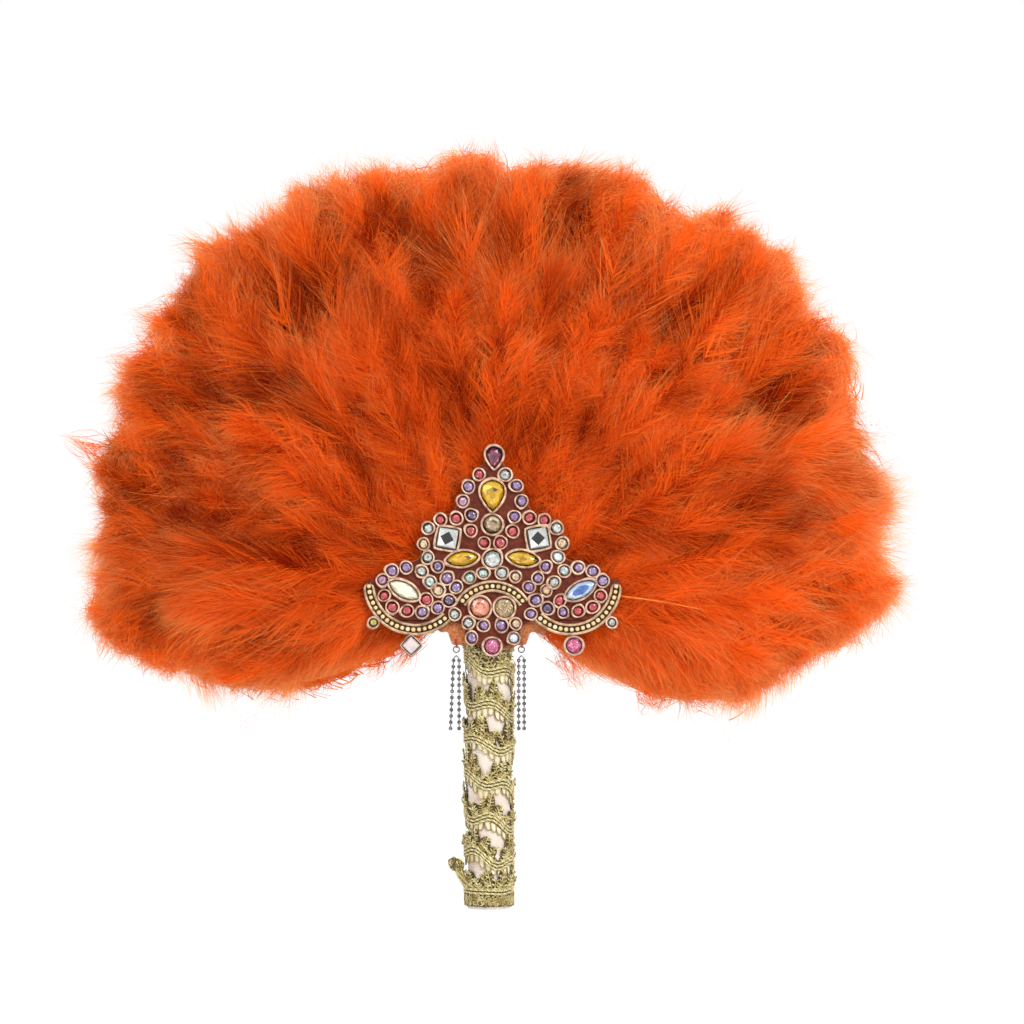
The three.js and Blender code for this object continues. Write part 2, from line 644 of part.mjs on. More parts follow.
// The strip of the bed or plate that carries a drop, running from it towards the wing's middle
function dropNeck(stone, bottom, top) {
  const drop = point(stone.x, stone.y).multiplyScalar(SETTING_PITCH);
  const wing = point(Math.sign(stone.x) * wingRail.x, wingRail.y).multiplyScalar(SETTING_PITCH);
  const along = wing.sub(drop).setLength(stone.length + NECK_LENGTH);
  const across = point(-along.y, along.x).setLength(NECK_WIDTH / 2);
  const corners = [drop.clone().sub(across), drop.clone().add(across)];
  corners.push(corners[1].clone().add(along), corners[0].clone().add(along));
  return prism(corners, bottom, top);
}

function settingFrame() {
  const seats = [...smallStones, ...bedStones, ...dropStones, ...Object.values(looseStones)];
  const plate = solid(prism(appliqueOutline(plateFoot, PLATE_INSET), plateBottom, plateTop));
  const necks = dropStones.map((stone) => solid(dropNeck(stone, plateBottom, plateTop)));
  const walls = seats.map((stone) => solid(prism(outlineOf(stone, GAP + SETTING_RIM), plateBottom, rimTop)));
  const holes = seats.map((stone) => solid(prism(outlineOf(stone, GAP), plateBottom - 1, rimTop + 1)));
  const rooms = Object.values(rails).map((rail) => solid(railRoom(rail)));
  return geometryOf(joined([plate, ...necks, ...walls]).subtract(joined([...holes, ...rooms])));
}

function insetStones() {
  const bedTop = bedBottom + BED_THICKNESS;
  const bed = solid(prism(appliqueOutline(plateFoot, BED_INSET), bedBottom, bedTop));
  const necks = dropStones.map((stone) => solid(dropNeck(stone, bedBottom, bedTop)));
  const set = [...smallStones, ...bedStones, ...dropStones];
  const stones = set.map((stone) => solid(cutStone(stone, bedBottom)));
  return geometryOf(joined([bed, ...necks, ...stones]));
}

const backing = prism(appliqueOutline(sewnFoot, 0), facePlane, facePlane + BACKING_THICKNESS);
place(applique, 'applique_backing', backing, felt);
place(applique, 'setting_frame', settingFrame(), roseGold);
place(applique, 'inset_stones', insetStones(), crystal(0xa384b4));
for (const [name, stone] of Object.entries(looseStones)) {
  place(applique, name, cutStone(stone, plateBottom), crystal(stoneColours[name]));
}
for (const [side, rail] of Object.entries(rails)) {
  place(applique, `rail_${side}`, railChannel(rail), roseGold);
  place(applique, `bead_row_${side}`, beadRow(rail), beadGold);
}

// Hanging chain loops, sewn under the straight edge of the backing

const sewingEdge = APPLIQUE_RISE + sewnFoot[0][1] * SETTING_PITCH;
const ringHeight = sewingEdge - GAP - RING_RADIUS - RING_WIRE;
const upperKnuckle = ringHeight - RING_RADIUS - RING_WIRE - KNUCKLE_GAP;
const yokeTop = upperKnuckle - KNUCKLE_GAP;
const firstCup = yokeTop - YOKE_HEIGHT; // top of the first cups
const innerStrand = braidOuter + CHAIN_CLEARANCE + CUP_WIDTH / 2;
const ringOffset = innerStrand + STRAND_SPACING / 2;
const loopLength = (CUPS_ABOVE + CUPS_BELOW) * CUP_PITCH;

// A row of cups joined by links, hanging from the given height along xAt(height), with a link of
// the given length standing up from the first cup
function strand(top, cups, xAt, stub = 0) {
  const sections = [];
  const heights = [];
  const section = (x, width, depth) => [
    point(x - width / 2, chainDepth - depth / 2), point(x + width / 2, chainDepth - depth / 2),
    point(x + width / 2, chainDepth + depth / 2), point(x - width / 2, chainDepth + depth / 2),
  ];
  const add = (height, width, depth) => {
    sections.push(section(xAt(height), width, depth));
    heights.push(height);
  };
  if (stub > 0) add(top + stub, LINK_WIDTH, LINK_DEPTH);
  for (let i = 0; i < cups; i++) {
    const cupTop = top - i * CUP_PITCH;
    if (heights.length > 0) add(cupTop, LINK_WIDTH, LINK_DEPTH);
    add(cupTop, CUP_WIDTH, CUP_DEPTH);
    add(cupTop - CUP_LENGTH, CUP_WIDTH, CUP_DEPTH);
    if (i < cups - 1) add(cupTop - CUP_LENGTH, LINK_WIDTH, LINK_DEPTH);
  }
  return sweep(sections, (i, p) => [p.x, heights[i], p.y]);
}

function chainLoop(side, spacingAtFoot) {
  const sign = side === 'left' ? -1 : 1;
  const inner = () => sign * innerStrand;
  const outer = (height) => {
    const fallen = (firstCup - height) / loopLength;
    return sign * (innerStrand + THREE.MathUtils.lerp(STRAND_SPACING, spacingAtFoot, fallen));
  };
  const ringX = sign * ringOffset;
  const ring = new THREE.TorusGeometry(RING_RADIUS, RING_WIRE, 6, 12);
  ring.translate(ringX, ringHeight, chainDepth);
  place(face, `chain_${side}_ring`, ring, steel);

  const overlap = CUP_LENGTH / 2;
  const yokeOutline = [
    point(ringX - sign * LINK_WIDTH, yokeTop), point(ringX + sign * LINK_WIDTH, yokeTop),
    point(outer(firstCup), firstCup - overlap), point(inner(), firstCup - overlap),
  ];
  const yoke = prism(yokeOutline, chainDepth - YOKE_DEPTH / 2, chainDepth + YOKE_DEPTH / 2);
  const upper = [yoke, strand(firstCup, CUPS_ABOVE, inner), strand(firstCup, CUPS_ABOVE, outer)];
  place(face, `chain_${side}_upper`, geometryOf(joined(upper.map(solid))), steel);

  const lowerTop = firstCup - CUPS_ABOVE * CUP_PITCH;
  const foot = lowerTop - CUPS_BELOW * CUP_PITCH + (CUP_PITCH - CUP_LENGTH); // bottom of the last cups
  const footOuter = outer(foot);
  const turnWidth = Math.abs(footOuter - inner());
  const turn = new THREE.BoxGeometry(turnWidth, LINK_WIDTH, LINK_DEPTH);
  turn.translate((footOuter + inner()) / 2, foot + LINK_WIDTH, chainDepth);
  const stub = CUP_PITCH - CUP_LENGTH - GAP;
  const strands = [inner, outer].map((xAt) => strand(lowerTop, CUPS_BELOW, xAt, stub));
  const lower = [turn, ...strands];
  place(face, `chain_${side}_lower`, geometryOf(joined(lower.map(solid))), steel);
}

chainLoop('left', LEFT_SPACING_AT_FOOT);
chainLoop('right', RIGHT_SPACING_AT_FOOT);

export default fan;
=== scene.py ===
"""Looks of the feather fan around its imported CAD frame, for Blender 4.5.

Shapes are worked out in millimetres, with x to the right, depth d towards the viewer (-Y) and z up,
and are turned into metres when a mesh is made.
"""

import math

import bpy
import numpy as np
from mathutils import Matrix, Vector
from mathutils.geometry import tessellate_polygon


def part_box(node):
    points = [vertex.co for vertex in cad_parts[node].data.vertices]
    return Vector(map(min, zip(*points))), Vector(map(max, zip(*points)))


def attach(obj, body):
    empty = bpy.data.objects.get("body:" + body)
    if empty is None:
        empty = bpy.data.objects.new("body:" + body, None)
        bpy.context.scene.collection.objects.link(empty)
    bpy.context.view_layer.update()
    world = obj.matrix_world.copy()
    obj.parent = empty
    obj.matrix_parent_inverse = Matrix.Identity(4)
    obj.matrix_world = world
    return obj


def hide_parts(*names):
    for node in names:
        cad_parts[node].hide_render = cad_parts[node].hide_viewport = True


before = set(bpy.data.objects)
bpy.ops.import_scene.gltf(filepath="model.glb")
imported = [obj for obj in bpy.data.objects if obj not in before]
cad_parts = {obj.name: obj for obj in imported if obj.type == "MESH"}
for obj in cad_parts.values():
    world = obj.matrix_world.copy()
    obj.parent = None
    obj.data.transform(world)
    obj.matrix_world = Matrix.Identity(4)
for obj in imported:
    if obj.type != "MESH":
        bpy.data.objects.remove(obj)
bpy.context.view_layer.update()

MM = 0.001
TURN = 2 * math.pi


def box_mm(node):
    """Lowest and highest corner of a CAD node in millimetres."""
    low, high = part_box(node)
    return np.array(low) / MM, np.array(high) / MM


def middle_mm(node):
    """Middle of a CAD node's box in millimetres."""
    low, high = box_mm(node)
    return (low + high) / 2


# Places taken from the frame
COVER_RADIUS = 50.0
HUB_Z = box_mm("back_cover")[1][2] - COVER_RADIUS
BACKING_FRONT = -box_mm("applique_backing")[0][1]
FACE_DEPTH = -box_mm("applique_backing")[1][1]


# Meshes

def new_object(name, data):
    """An object of the scene that shows a mesh, a light or a camera."""
    made = bpy.data.objects.new(name, data)
    bpy.context.scene.collection.objects.link(made)
    return made


def make_object(name, points, faces, finishes, body="fan", slot=None, replaces=(), uv=None,
                slots=None, tones=None, smooth=True, crease=None):
    """A mesh piece from points in millimetres and a list of face arrays, riding on a body."""
    faces = [np.asarray(f, np.int32) for f in faces if len(f)]
    corners = np.concatenate([f.ravel() for f in faces])
    sizes = np.concatenate([np.full(len(f), f.shape[1], np.int32) for f in faces])
    mesh = bpy.data.meshes.new(name)
    mesh.vertices.add(len(points))
    mesh.vertices.foreach_set("co", (np.asarray(points, float) * MM).astype(np.float32).ravel())
    mesh.loops.add(len(corners))
    mesh.loops.foreach_set("vertex_index", corners)
    mesh.polygons.add(len(sizes))
    starts = np.concatenate([[0], np.cumsum(sizes)[:-1]])
    mesh.polygons.foreach_set("loop_start", starts.astype(np.int32))
    mesh.update(calc_edges=True)
    mesh.polygons.foreach_set("use_smooth", np.full(len(sizes), smooth))
    if slots is not None:
        mesh.polygons.foreach_set("material_index", np.asarray(slots, np.int32))
    if tones is not None:
        layer = mesh.attributes.new("tone", "FLOAT", "FACE")
        layer.data.foreach_set("value", np.asarray(tones, np.float32))
    if uv is not None:
        layer = mesh.uv_layers.new(name="OFBake")
        layer.data.foreach_set("uv", np.asarray(uv, np.float32)[corners].ravel())
    if crease is not None:
        mesh.set_sharp_from_angle(angle=math.radians(crease))
    for finish in finishes if isinstance(finishes, (list, tuple)) else [finishes]:
        mesh.materials.append(finish)
    made = new_object(name, mesh)
    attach(made, body)
    if replaces:
        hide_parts(*replaces)
    return made


class Pile:
    """Parts of one piece: points, and faces of any number of corners, each with a finish and a tone."""

    def __init__(self):
        self.points, self.faces, self.slots, self.tones = [], [], [], []
        self.count = 0

    def add(self, points, *faces, slot=0, tone=0.5):
        """Take in points and faces that count from the first of them; returns that point's index."""
        first = self.count
        self.points.append(np.asarray(points, float).reshape(-1, 3))
        self.count += len(self.points[-1])
        for group in faces:
            self.more(first, group, slot, tone)
        return first

    def more(self, first, faces, slot=0, tone=0.5):
        """Take in further faces on points that are here already."""
        faces = np.asarray(faces, int)
        if len(faces):
            self.faces.append(faces + first)
            self.slots.append(np.full(len(faces), slot))
            self.tones.append(np.broadcast_to(tone, len(faces)))

    def build(self, name, finishes, **options):
        """Make the piece; the options are those of make_object."""
        return make_object(name, np.concatenate(self.points), self.faces, finishes,
                           slots=np.concatenate(self.slots), tones=np.concatenate(self.tones), **options)


def grid_quads(rows, columns, closed=False):
    """Quads between neighbouring rows of points, joined round each row where it is closed."""
    row = np.arange(rows - 1)[:, None] * columns
    column = np.arange(columns if closed else columns - 1)
    after = (column + 1) % columns
    below = row + columns
    return np.stack([row + column, row + after, below + after, below + column], -1).reshape(-1, 4)


def caps(pile, first, rows, columns, tone=0.5):
    """Flat ends of a grid that is closed round its rows."""
    ring = np.arange(columns)
    pile.more(first, [ring[::-1], ring + (rows - 1) * columns], tone=tone)


def unit(vectors):
    """Vectors brought to length 1."""
    return vectors / (np.linalg.norm(vectors, axis=-1, keepdims=True) + 1e-12)


def turns(count):
    """Even angles once round."""
    return np.linspace(0, TURN, count, endpoint=False)


def circle(angles):
    """Points of the unit circle."""
    return np.stack([np.cos(angles), np.sin(angles)], axis=-1)


def turned(flat, angle):
    """Points of the front plane turned anticlockwise about its origin."""
    c, s = math.cos(angle), math.sin(angle)
    return flat @ np.array([[c, s], [-s, c]])


def tubes(pile, paths, radii, sides=6, slot=0, tone=0.5):
    """Round strands along paths of shape (n, k, 3), closed at their ends."""
    paths = np.asarray(paths, float)
    n, k, _ = paths.shape
    radii = np.broadcast_to(radii, (n, k))
    tone = np.broadcast_to(tone, n)
    along = unit(np.gradient(paths, axis=1))
    upright = np.abs(along[:, 0, 2:3]) < 0.8
    side = unit(np.cross(along[:, 0], np.where(upright, [0.0, 0, 1], [1.0, 0, 0])))
    turn = turns(sides)
    rings = np.empty((n, k, sides, 3))
    for j in range(k):
        side = unit(side - along[:, j] * np.sum(side * along[:, j], axis=1, keepdims=True))
        other = np.cross(along[:, j], side)
        ring = np.cos(turn)[None, :, None] * side[:, None] + np.sin(turn)[None, :, None] * other[:, None]
        rings[:, j] = paths[:, j, None] + ring * radii[:, j, None, None]
    first = pile.add(rings)
    start = np.arange(n)[:, None, None] * k * sides
    wall = grid_quads(k, sides, closed=True)
    pile.more(first, (start + wall).reshape(-1, 4), slot, np.repeat(tone, len(wall)))
    cap = np.arange(sides)
    pile.more(first, start[:, 0] + cap[::-1], slot, tone)
    pile.more(first, start[:, 0] + (k - 1) * sides + cap, slot, tone)


def on_face(flat, depth):
    """Points of the front plane, (x, z), at a depth towards the viewer."""
    flat = np.asarray(flat, float)
    back = np.broadcast_to(-np.asarray(depth, float), flat.shape[:-1])
    return np.stack([flat[..., 0], back, flat[..., 1]], -1)


def outward(loop):
    """Unit normals of an anticlockwise loop in the front plane."""
    tangent = np.roll(loop, -1, axis=0) - np.roll(loop, 1, axis=0)
    return unit(np.stack([tangent[:, 1], -tangent[:, 0]], axis=1))


def around(pile, loop, profile, slot=0, tone=0.5):
    """A profile of (distance out, depth) carried round a loop; returns the first point's index."""
    normal = outward(loop)
    rings = np.stack([on_face(loop + normal * out, depth) for out, depth in profile])
    return pile.add(rings, grid_quads(len(profile), len(loop), closed=True), slot=slot, tone=tone)


def node_outline(node, facing, spacing):
    """Longest edge loop of a CAD node's flat front (-1) or back (1), evenly spaced, anticlockwise."""
    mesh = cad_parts[node].data
    flat = [f for f in mesh.polygons if f.normal.y * facing > 0.95]
    reach = max(f.center.y * facing for f in flat)
    used = {}
    for face in flat:
        if face.center.y * facing > reach - 0.0001:
            corners = [tuple(round(c, 6) for c in mesh.vertices[i].co) for i in face.vertices]
            for a, b in zip(corners, corners[1:] + corners[:1]):
                used[(a, b)] = True
    following = {a: b for a, b in used if (b, a) not in used}
    loops = []
    while following:
        point = next(iter(following))
        loop = []
        while point in following:
            loop.append(point)
            point = following.pop(point)
        loops.append(np.array(loop)[:, [0, 2]] / MM)
    loop = max(loops, key=lambda each: np.ptp(each, axis=0).sum())
    closed = np.vstack([loop, loop[:1]])
    run = np.concatenate([[0], np.cumsum(np.linalg.norm(np.diff(closed, axis=0), axis=1))])
    at = np.linspace(0, run[-1], int(run[-1] / spacing), endpoint=False)
    loop = np.stack([np.interp(at, run, closed[:, 0]), np.interp(at, run, closed[:, 1])], axis=1)
    area = np.sum(loop[:, 0] * np.roll(loop[:, 1], -1) - np.roll(loop[:, 0], -1) * loop[:, 1])
    return loop if area > 0 else loop[::-1]


def softened(loop, times):
    """A loop whose corners are eased a number of times."""
    for _ in range(times):
        loop = (loop * 2 + np.roll(loop, 1, axis=0) + np.roll(loop, -1, axis=0)) / 4
    return loop


def filled(loop):
    """Triangles that fill a loop."""
    return np.array(tessellate_polygon([[Vector((x, z, 0)) for x, z in loop]]))


def sheet(pile, loop, profile, slot=0):
    """A flat piece with a profile of (distance out, depth) round its edge, filled on both sides."""
    first = around(pile, loop, profile, slot)
    pile.more(first, filled(loop) + (len(profile) - 1) * len(loop), slot)
    pile.more(first, filled(loop)[:, ::-1], slot)


# Feathers

FAN_SPREAD = 212.0  # degrees between the outermost long quills
SHORT_SPREAD = 180.0
LOWEST_LEAN = 112.0  # of any feather's quill
LOW_PLUMES = 100.0  # lean past which a plume counts as one of the lowest
LONG_FRONT, LONG_BACK, SHORT_INNER = 11, 9, 7
QUILL_ROOT = 20.0  # from the hub to the feathers' roots
BARB_STATIONS = 5
GUIDE_STATIONS = 9
ALONG = np.linspace(0, 1, BARB_STATIONS)
TIP_SHARE = 0.14  # of a feather's guides that spring from its tip
TIP_PLACE = 0.99
STIFF_SHARE = 0.1  # of the barbs that stay straight, painted pale as highlights
ROLL = math.radians(38)  # of barbs out of their feather's plane
CURL = math.radians(34)  # of barbs towards their ends
WISP, CLUMP = 11, 22  # strands in a wisp of fringe and in a clump of curls
FRINGE_LEANS = (-127, 113)
# Depths of the plumes: floor over the hub's middle, thickness under the applique and its growth
LONG_FLOOR = 1.8
FRONT_PRESSED, FRONT_SWELL = 6.0, 12.0
BACK_PRESSED, BACK_SWELL = 12.0, 10.0
SHORT_FLOOR, SHORT_LIFT = 8.1, 11.5
SHORT_PRESSED, SHORT_SWELL = 6.2, 6.4
SHORT_SETTLE = 6.0  # by which the short plumes sink towards their tips
LAP = 4.0  # of the front and back plumes into each other
LAP_RANGE = (60, 110)
# Outline of the fan: degrees of lean from upright, positive to the left, and reach from the hub
OUTLINE = [
    (-136, 34), (-128, 42), (-124, 78), (-120, 113), (-110, 155), (-100, 190), (-96, 207), (-90, 230),
    (-78, 231), (-68, 231), (-58, 247), (-40, 260), (-25, 255), (0, 254), (20, 256), (30, 257), (50, 254),
    (60, 240), (72, 238), (80, 222), (87, 229), (92, 228), (100, 203), (110, 145), (115, 105), (118, 68),
    (121, 34), (126, 20)]
SHORT_OUTLINE = [(0, 185), (90, 178), (110, 150)]
# Lobes of the outline: height, period in degrees and phase, and the leans over which they come in
LOBES = [(3.2, 19, 1), (2.4, 11.3, 0), (1.6, 5.1, 2)]
LOBES_COME_IN = (120, 100)


def smoothstep(low, high, value):
    """0 up to low and 1 from high, with an even slope between them."""
    t = np.clip((value - low) / (high - low), 0, 1)
    return t * t * (3 - 2 * t)


def reach_at(lean):
    """Distance from the hub to the fan's outline, with its soft lobes."""
    lobes = sum(height * np.sin(lean * TURN / period + phase) for height, period, phase in LOBES)
    return np.interp(lean, *zip(*OUTLINE)) + lobes * smoothstep(*LOBES_COME_IN, np.abs(lean))


def edge_point(lean):
    """Place of the fan's outline in one direction, as (x, z) from the hub."""
    turn = np.radians(lean)
    return np.stack([-np.sin(turn), np.cos(turn)], axis=-1) * reach_at(lean)[..., None]


def edge_normal(lean):
    """Direction straight out of the fan's outline, as (x, z)."""
    tangent = edge_point(lean + 1.5) - edge_point(lean - 1.5)
    return unit(np.stack([tangent[..., 1], -tangent[..., 0]], axis=-1))


def edge_gap(lean, away):
    """Rough distance inwards from the fan's outline."""
    slope = (reach_at(lean + 2) - reach_at(lean - 2)) / math.radians(4)
    reach = reach_at(lean)
    return (reach - away) * reach / np.hypot(reach, slope)


def short_reach(lean):
    """Distance from the hub to the short plumes' tips."""
    return np.interp(abs(lean), *zip(*SHORT_OUTLINE))


def patches(points, seed, shortest, longest):
    """Soft tonal patches in space, mostly between -1 and 1."""
    rng = np.random.default_rng(seed)
    count = 16
    waves = unit(rng.normal(0, 1, (count, 3))) * TURN / rng.uniform(shortest, longest, (count, 1))
    return np.sin(points @ waves.T + rng.uniform(0, TURN, count)).sum(axis=-1) / math.sqrt(count / 2)


def crown(share):
    """Thickness of a plume across its width, from its quill at 0 to its sides at -1 and 1."""
    return 1 - 0.5 * np.clip(np.abs(share), 0, 1.25) ** 1.8


def ribbons(paths, widths, facing):
    """Thin strips along paths of shape (n, k, 3), as points and quads."""
    n, k, _ = paths.shape
    side = unit(np.cross(np.gradient(paths, axis=1), facing[:, None, :]))
    half = side * widths[:, :, None] / 2
    points = np.stack([paths - half, paths + half], axis=2).reshape(-1, 3)
    first = (np.arange(n)[:, None] * k + np.arange(k - 1)) * 2
    quads = np.stack([first, first + 1, first + 3, first + 2], axis=2).reshape(-1, 4)
    return points, quads


def feather(rng, reach, root, swing, bend, level, room, barb_length, guides, barbs, spread=1.0):
    """Barbs of one feather in its plume's frame: across, along and height over the hub's middle.

    swing is its angle in the plume, bend how far its tip curves aside and level its place in the
    plume's thickness from 0 to 1. spread is how far its barbs stray from the guides that they follow.
    Returns barb paths (n, k, 3), tones from 0 to 1, widths and paleness.
    """
    def quill(s):
        along = root + (reach - root) * s
        aside = along * math.tan(swing) + bend * s * s
        floor, thick = room(aside, along)
        return np.stack([aside, along, floor + level * thick], axis=-1)

    s = rng.uniform(0.02, 1, guides) ** 0.72
    s[rng.random(guides) < TIP_SHARE] = TIP_PLACE
    start = quill(s)
    ahead = unit(quill(s + 0.01) - start)
    aside = np.stack([ahead[:, 1], -ahead[:, 0], np.zeros(guides)], axis=1)
    side = rng.choice([-1.0, 1.0], guides)
    roll = rng.normal(0, ROLL * spread, guides)
    out = aside * (side * np.cos(roll))[:, None]
    out[:, 2] += np.sin(roll)
    opening = np.radians((60 - 20 * s) * rng.uniform(0.4, 1.3, guides))
    opening *= np.where(s == TIP_PLACE, 0.6, 1.0)
    length = barb_length * (0.6 + 0.4 * np.sin(np.pi * np.clip(s, 0, 1) ** 0.9))
    length *= rng.uniform(0.7, 1.1, guides)
    u = np.linspace(0, 1, GUIDE_STATIONS)
    curl = rng.normal(0, CURL * spread, guides)
    angle = opening[:, None] * (1 - 0.5 * u) + curl[:, None] * u * u
    step = (length / (GUIDE_STATIONS - 1))[:, None]
    forward = np.cumsum(np.cos(angle) * step, axis=1) - np.cos(angle[:, :1]) * step
    beside = np.cumsum(np.sin(angle) * step, axis=1) - np.sin(angle[:, :1]) * step
    guide = start[:, None] + ahead[:, None] * forward[..., None] + out[:, None] * beside[..., None]

    parent = rng.integers(0, guides, barbs)
    stiff = rng.random(barbs) < STIFF_SHARE
    cut = np.where(stiff, rng.uniform(0.8, 1.08, barbs), rng.uniform(0.4, 1.0, barbs))
    at = ALONG[None, :] * cut[:, None] * (GUIDE_STATIONS - 1)
    low = np.minimum(at.astype(int), GUIDE_STATIONS - 2)
    part = (at - low)[..., None]
    family = guide[parent]
    rows = np.arange(barbs)[:, None]
    path = family[rows, low] * (1 - part) + family[rows, low + 1] * part
    slide = rng.uniform(-1, 1, barbs) * 4.0 * spread ** 2 * (reach - root) / guides
    offset = ahead[parent] * slide[:, None] + rng.normal(0, 1.5 * spread, (barbs, 3))
    gather = rng.uniform(-0.2, 0.6, barbs)
    path += offset[:, None] * (1 - gather[:, None] * ALONG)[..., None]
    loose = np.where(stiff, 1.0, rng.choice([1.5, 3.2, 6.0], barbs, p=[0.4, 0.4, 0.2]))
    stray = rng.normal(0, spread, (barbs, 3)) * loose[:, None]
    path += stray[:, None] * (ALONG * ALONG)[None, :, None]
    wave = rng.normal(0, 0.7 * spread, (barbs, 3)) * np.where(stiff, 0.2, 1.0)[:, None]
    path += wave[:, None] * np.sin(ALONG * 5.5)[None, :, None]
    # Stiff barbs get a lighter tone and more paleness: painted highlights along them.
    tone = rng.normal(0.54, 0.09, guides)[parent] + rng.normal(0, 0.05, barbs) + 0.34 * stiff
    width = np.where(stiff, 0.26, rng.uniform(0.24, 0.42, barbs))
    return path, tone, width, np.where(stiff, 0.35, 0.0)


def wing_edge(lean):
    """Distance from the hub at which the applique ends in one direction."""
    return 64 + 33 * math.cos(math.radians(lean)) ** 2


def rim(along, reach):
    """Thinning of a plume towards its tip."""
    return 1 - 0.62 * smoothstep(reach - 62, reach + 6, along) ** 1.5


def front_room(lean):
    """Floor and thickness of a long front plume at each distance from the hub."""
    def room(along):
        thick = FRONT_PRESSED + FRONT_SWELL * smoothstep(wing_edge(lean), wing_edge(lean) + 62, along)
        overlap = LAP * smoothstep(*LAP_RANGE, along)
        return LONG_FLOOR - overlap, (thick + overlap) * rim(along, reach_at(lean))
    return room


def back_room(lean):
    """The same of a back plume."""
    def room(along):
        overlap = LAP * smoothstep(*LAP_RANGE, along)
        thick = BACK_PRESSED + BACK_SWELL * smoothstep(58, 120, along) + overlap
        return LONG_FLOOR - overlap, thick * rim(along, reach_at(lean))
    return room


def short_room(lean):
    """The same of a short plume, which lies on the long ones."""
    def room(along):
        lift = smoothstep(wing_edge(lean) - 4, wing_edge(lean) + 48, along)
        settle = SHORT_SETTLE * smoothstep(120, 185, along)
        thick = SHORT_PRESSED + SHORT_SWELL * lift + 0.4 * settle
        return SHORT_FLOOR + SHORT_LIFT * lift - settle, thick * rim(along, short_reach(lean) + 12)
    return room


def kept_inside(world, rng):
    """Barbs drawn back towards their roots where their tips pass the fan's outline."""
    count = len(world)
    limit = rng.choice([0.96, 0.99, 1.015], count, p=[0.4, 0.45, 0.15]) * rng.uniform(0.97, 1.01, count)
    for _ in range(3):
        tip, base = world[:, -1], world[:, 0]
        far = np.hypot(tip[:, 0], tip[:, 2] - HUB_Z)
        near = np.hypot(base[:, 0], base[:, 2] - HUB_Z)
        allowed = limit * reach_at(np.degrees(np.arctan2(-tip[:, 0], tip[:, 2] - HUB_Z)))
        share = np.clip((allowed - near) / np.maximum(far - near, 1.0), 0.15, 1)
        share = np.where(far > allowed, share, 1)
        world = base[:, None] + (world - base[:, None]) * share[:, None, None]
    return world


def curled(rng, spot, heading, bow, length, room, low, high):
    """Curling strands from places (across, along) of a plume, between two shares of its thickness."""
    floor, thick = room(spot[:, 0], spot[:, 1])
    height = floor + thick * rng.uniform(low, high, len(spot))
    angle = heading[:, None] + bow[:, None] * ALONG
    step = length[:, None] / (BARB_STATIONS - 1)
    path = np.empty((len(spot), BARB_STATIONS, 3))
    for axis, way in enumerate((np.sin(angle), np.cos(angle))):
        path[..., axis] = spot[:, axis:axis + 1] + np.cumsum(way * step, axis=1) - way[:, :1] * step
    path[..., 2] = height[:, None] + rng.normal(0, 2.5, len(spot))[:, None] * ALONG
    return path


def fringe(rng, lean, half, room, count):
    """Curling fuzz straight out of the fan's outline, gathered to small wisps."""
    further = 10.0 if abs(lean) > LOW_PLUMES else 2.0
    wisps = count // WISP
    aim = np.clip(lean + rng.uniform(-1, 1, wisps) * (half + further), *FRINGE_LEANS)
    normal = edge_normal(aim)
    spot = edge_point(aim) - normal * rng.uniform(7, 21, (wisps, 1))
    spot, normal = turned(spot, -math.radians(lean)), turned(normal, -math.radians(lean))
    heading = np.arctan2(normal[:, 0], normal[:, 1]) + rng.normal(0, 0.5, wisps)
    bow = rng.normal(0, 0.6, wisps) + rng.choice([-1.6, 0.0, 1.6], wisps)
    length = rng.uniform(7, 20, wisps)
    # High tone, and high paleness below: painted glow of light through the thin fuzz at the edge.
    tone = rng.normal(0.8, 0.1, wisps)
    own = rng.integers(0, wisps, count)
    path = curled(
        rng, spot[own] + rng.normal(0, 1.6, (count, 2)), heading[own] + rng.normal(0, 0.22, count),
        bow[own] + rng.normal(0, 0.5, count), length[own] * rng.uniform(0.6, 1.1, count), room, 0.05, 0.85)
    return path, tone[own], rng.uniform(0.18, 0.3, count), rng.uniform(0.55, 0.95, count)


def curls(rng, half, reach, room, count):
    """Fine bright down that curls every way over a plume's face, in loose clumps."""
    clumps = count // CLUMP + 1
    along = reach * np.sqrt(rng.uniform(0.12, 0.93, clumps))
    turn = math.radians(half) * 1.1 * rng.uniform(-1, 1, clumps)
    own = rng.integers(0, clumps, count)
    spot = np.stack([along * np.tan(turn), along], axis=1)[own] + rng.normal(0, 4.5, (count, 2))
    path = curled(rng, spot, turn[own] + rng.normal(0, 1.1, count),
                  rng.choice([-1, 1], count) * rng.uniform(0.6, 2.4, count), rng.uniform(5, 13, count), room,
                  0.88, 1.04)
    return path, rng.normal(0.74, 0.1, count), rng.uniform(0.16, 0.27, count), rng.uniform(0.3, 0.6, count)


def undercoat(rng, half, reach, room, count, low, high):
    """Short even down that closes a plume between its feathers, between two shares of its thickness, toned
    dark as painted shade inside the plume.
    """
    along = reach * np.sqrt(rng.uniform(0.08, 0.9, count))
    turn = math.radians(half) * 1.15 * rng.uniform(-1, 1, count)
    spot = np.stack([along * np.tan(turn), along], axis=1)
    path = curled(rng, spot, turn + rng.normal(0, 0.45, count), rng.normal(0, 0.6, count),
                  rng.uniform(12, 30, count), room, low, high)
    # Low tone: painted shade of the plume's depths.
    return path, rng.normal(0.4, 0.08, count), rng.uniform(0.3, 0.5, count), np.zeros(count)


def down_piece(name, paths, widths, facing, shade, tone, finish, **options):
    """Tapering strands as one piece, with the place along each strand, which runs from painted root shade to
    painted tip glow, and its tone as texture places.
    """
    points, quads = ribbons(paths, widths[:, None] * (1 - 0.85 * ALONG ** 1.5), facing)
    uv = np.empty((len(paths), BARB_STATIONS, 2, 2))
    uv[..., 0] = shade[..., None]
    uv[..., 1] = tone[:, None, None] + np.array([-0.004, 0.004])
    return make_object(name, points, [quads], finish, uv=uv.reshape(-1, 2), **options)


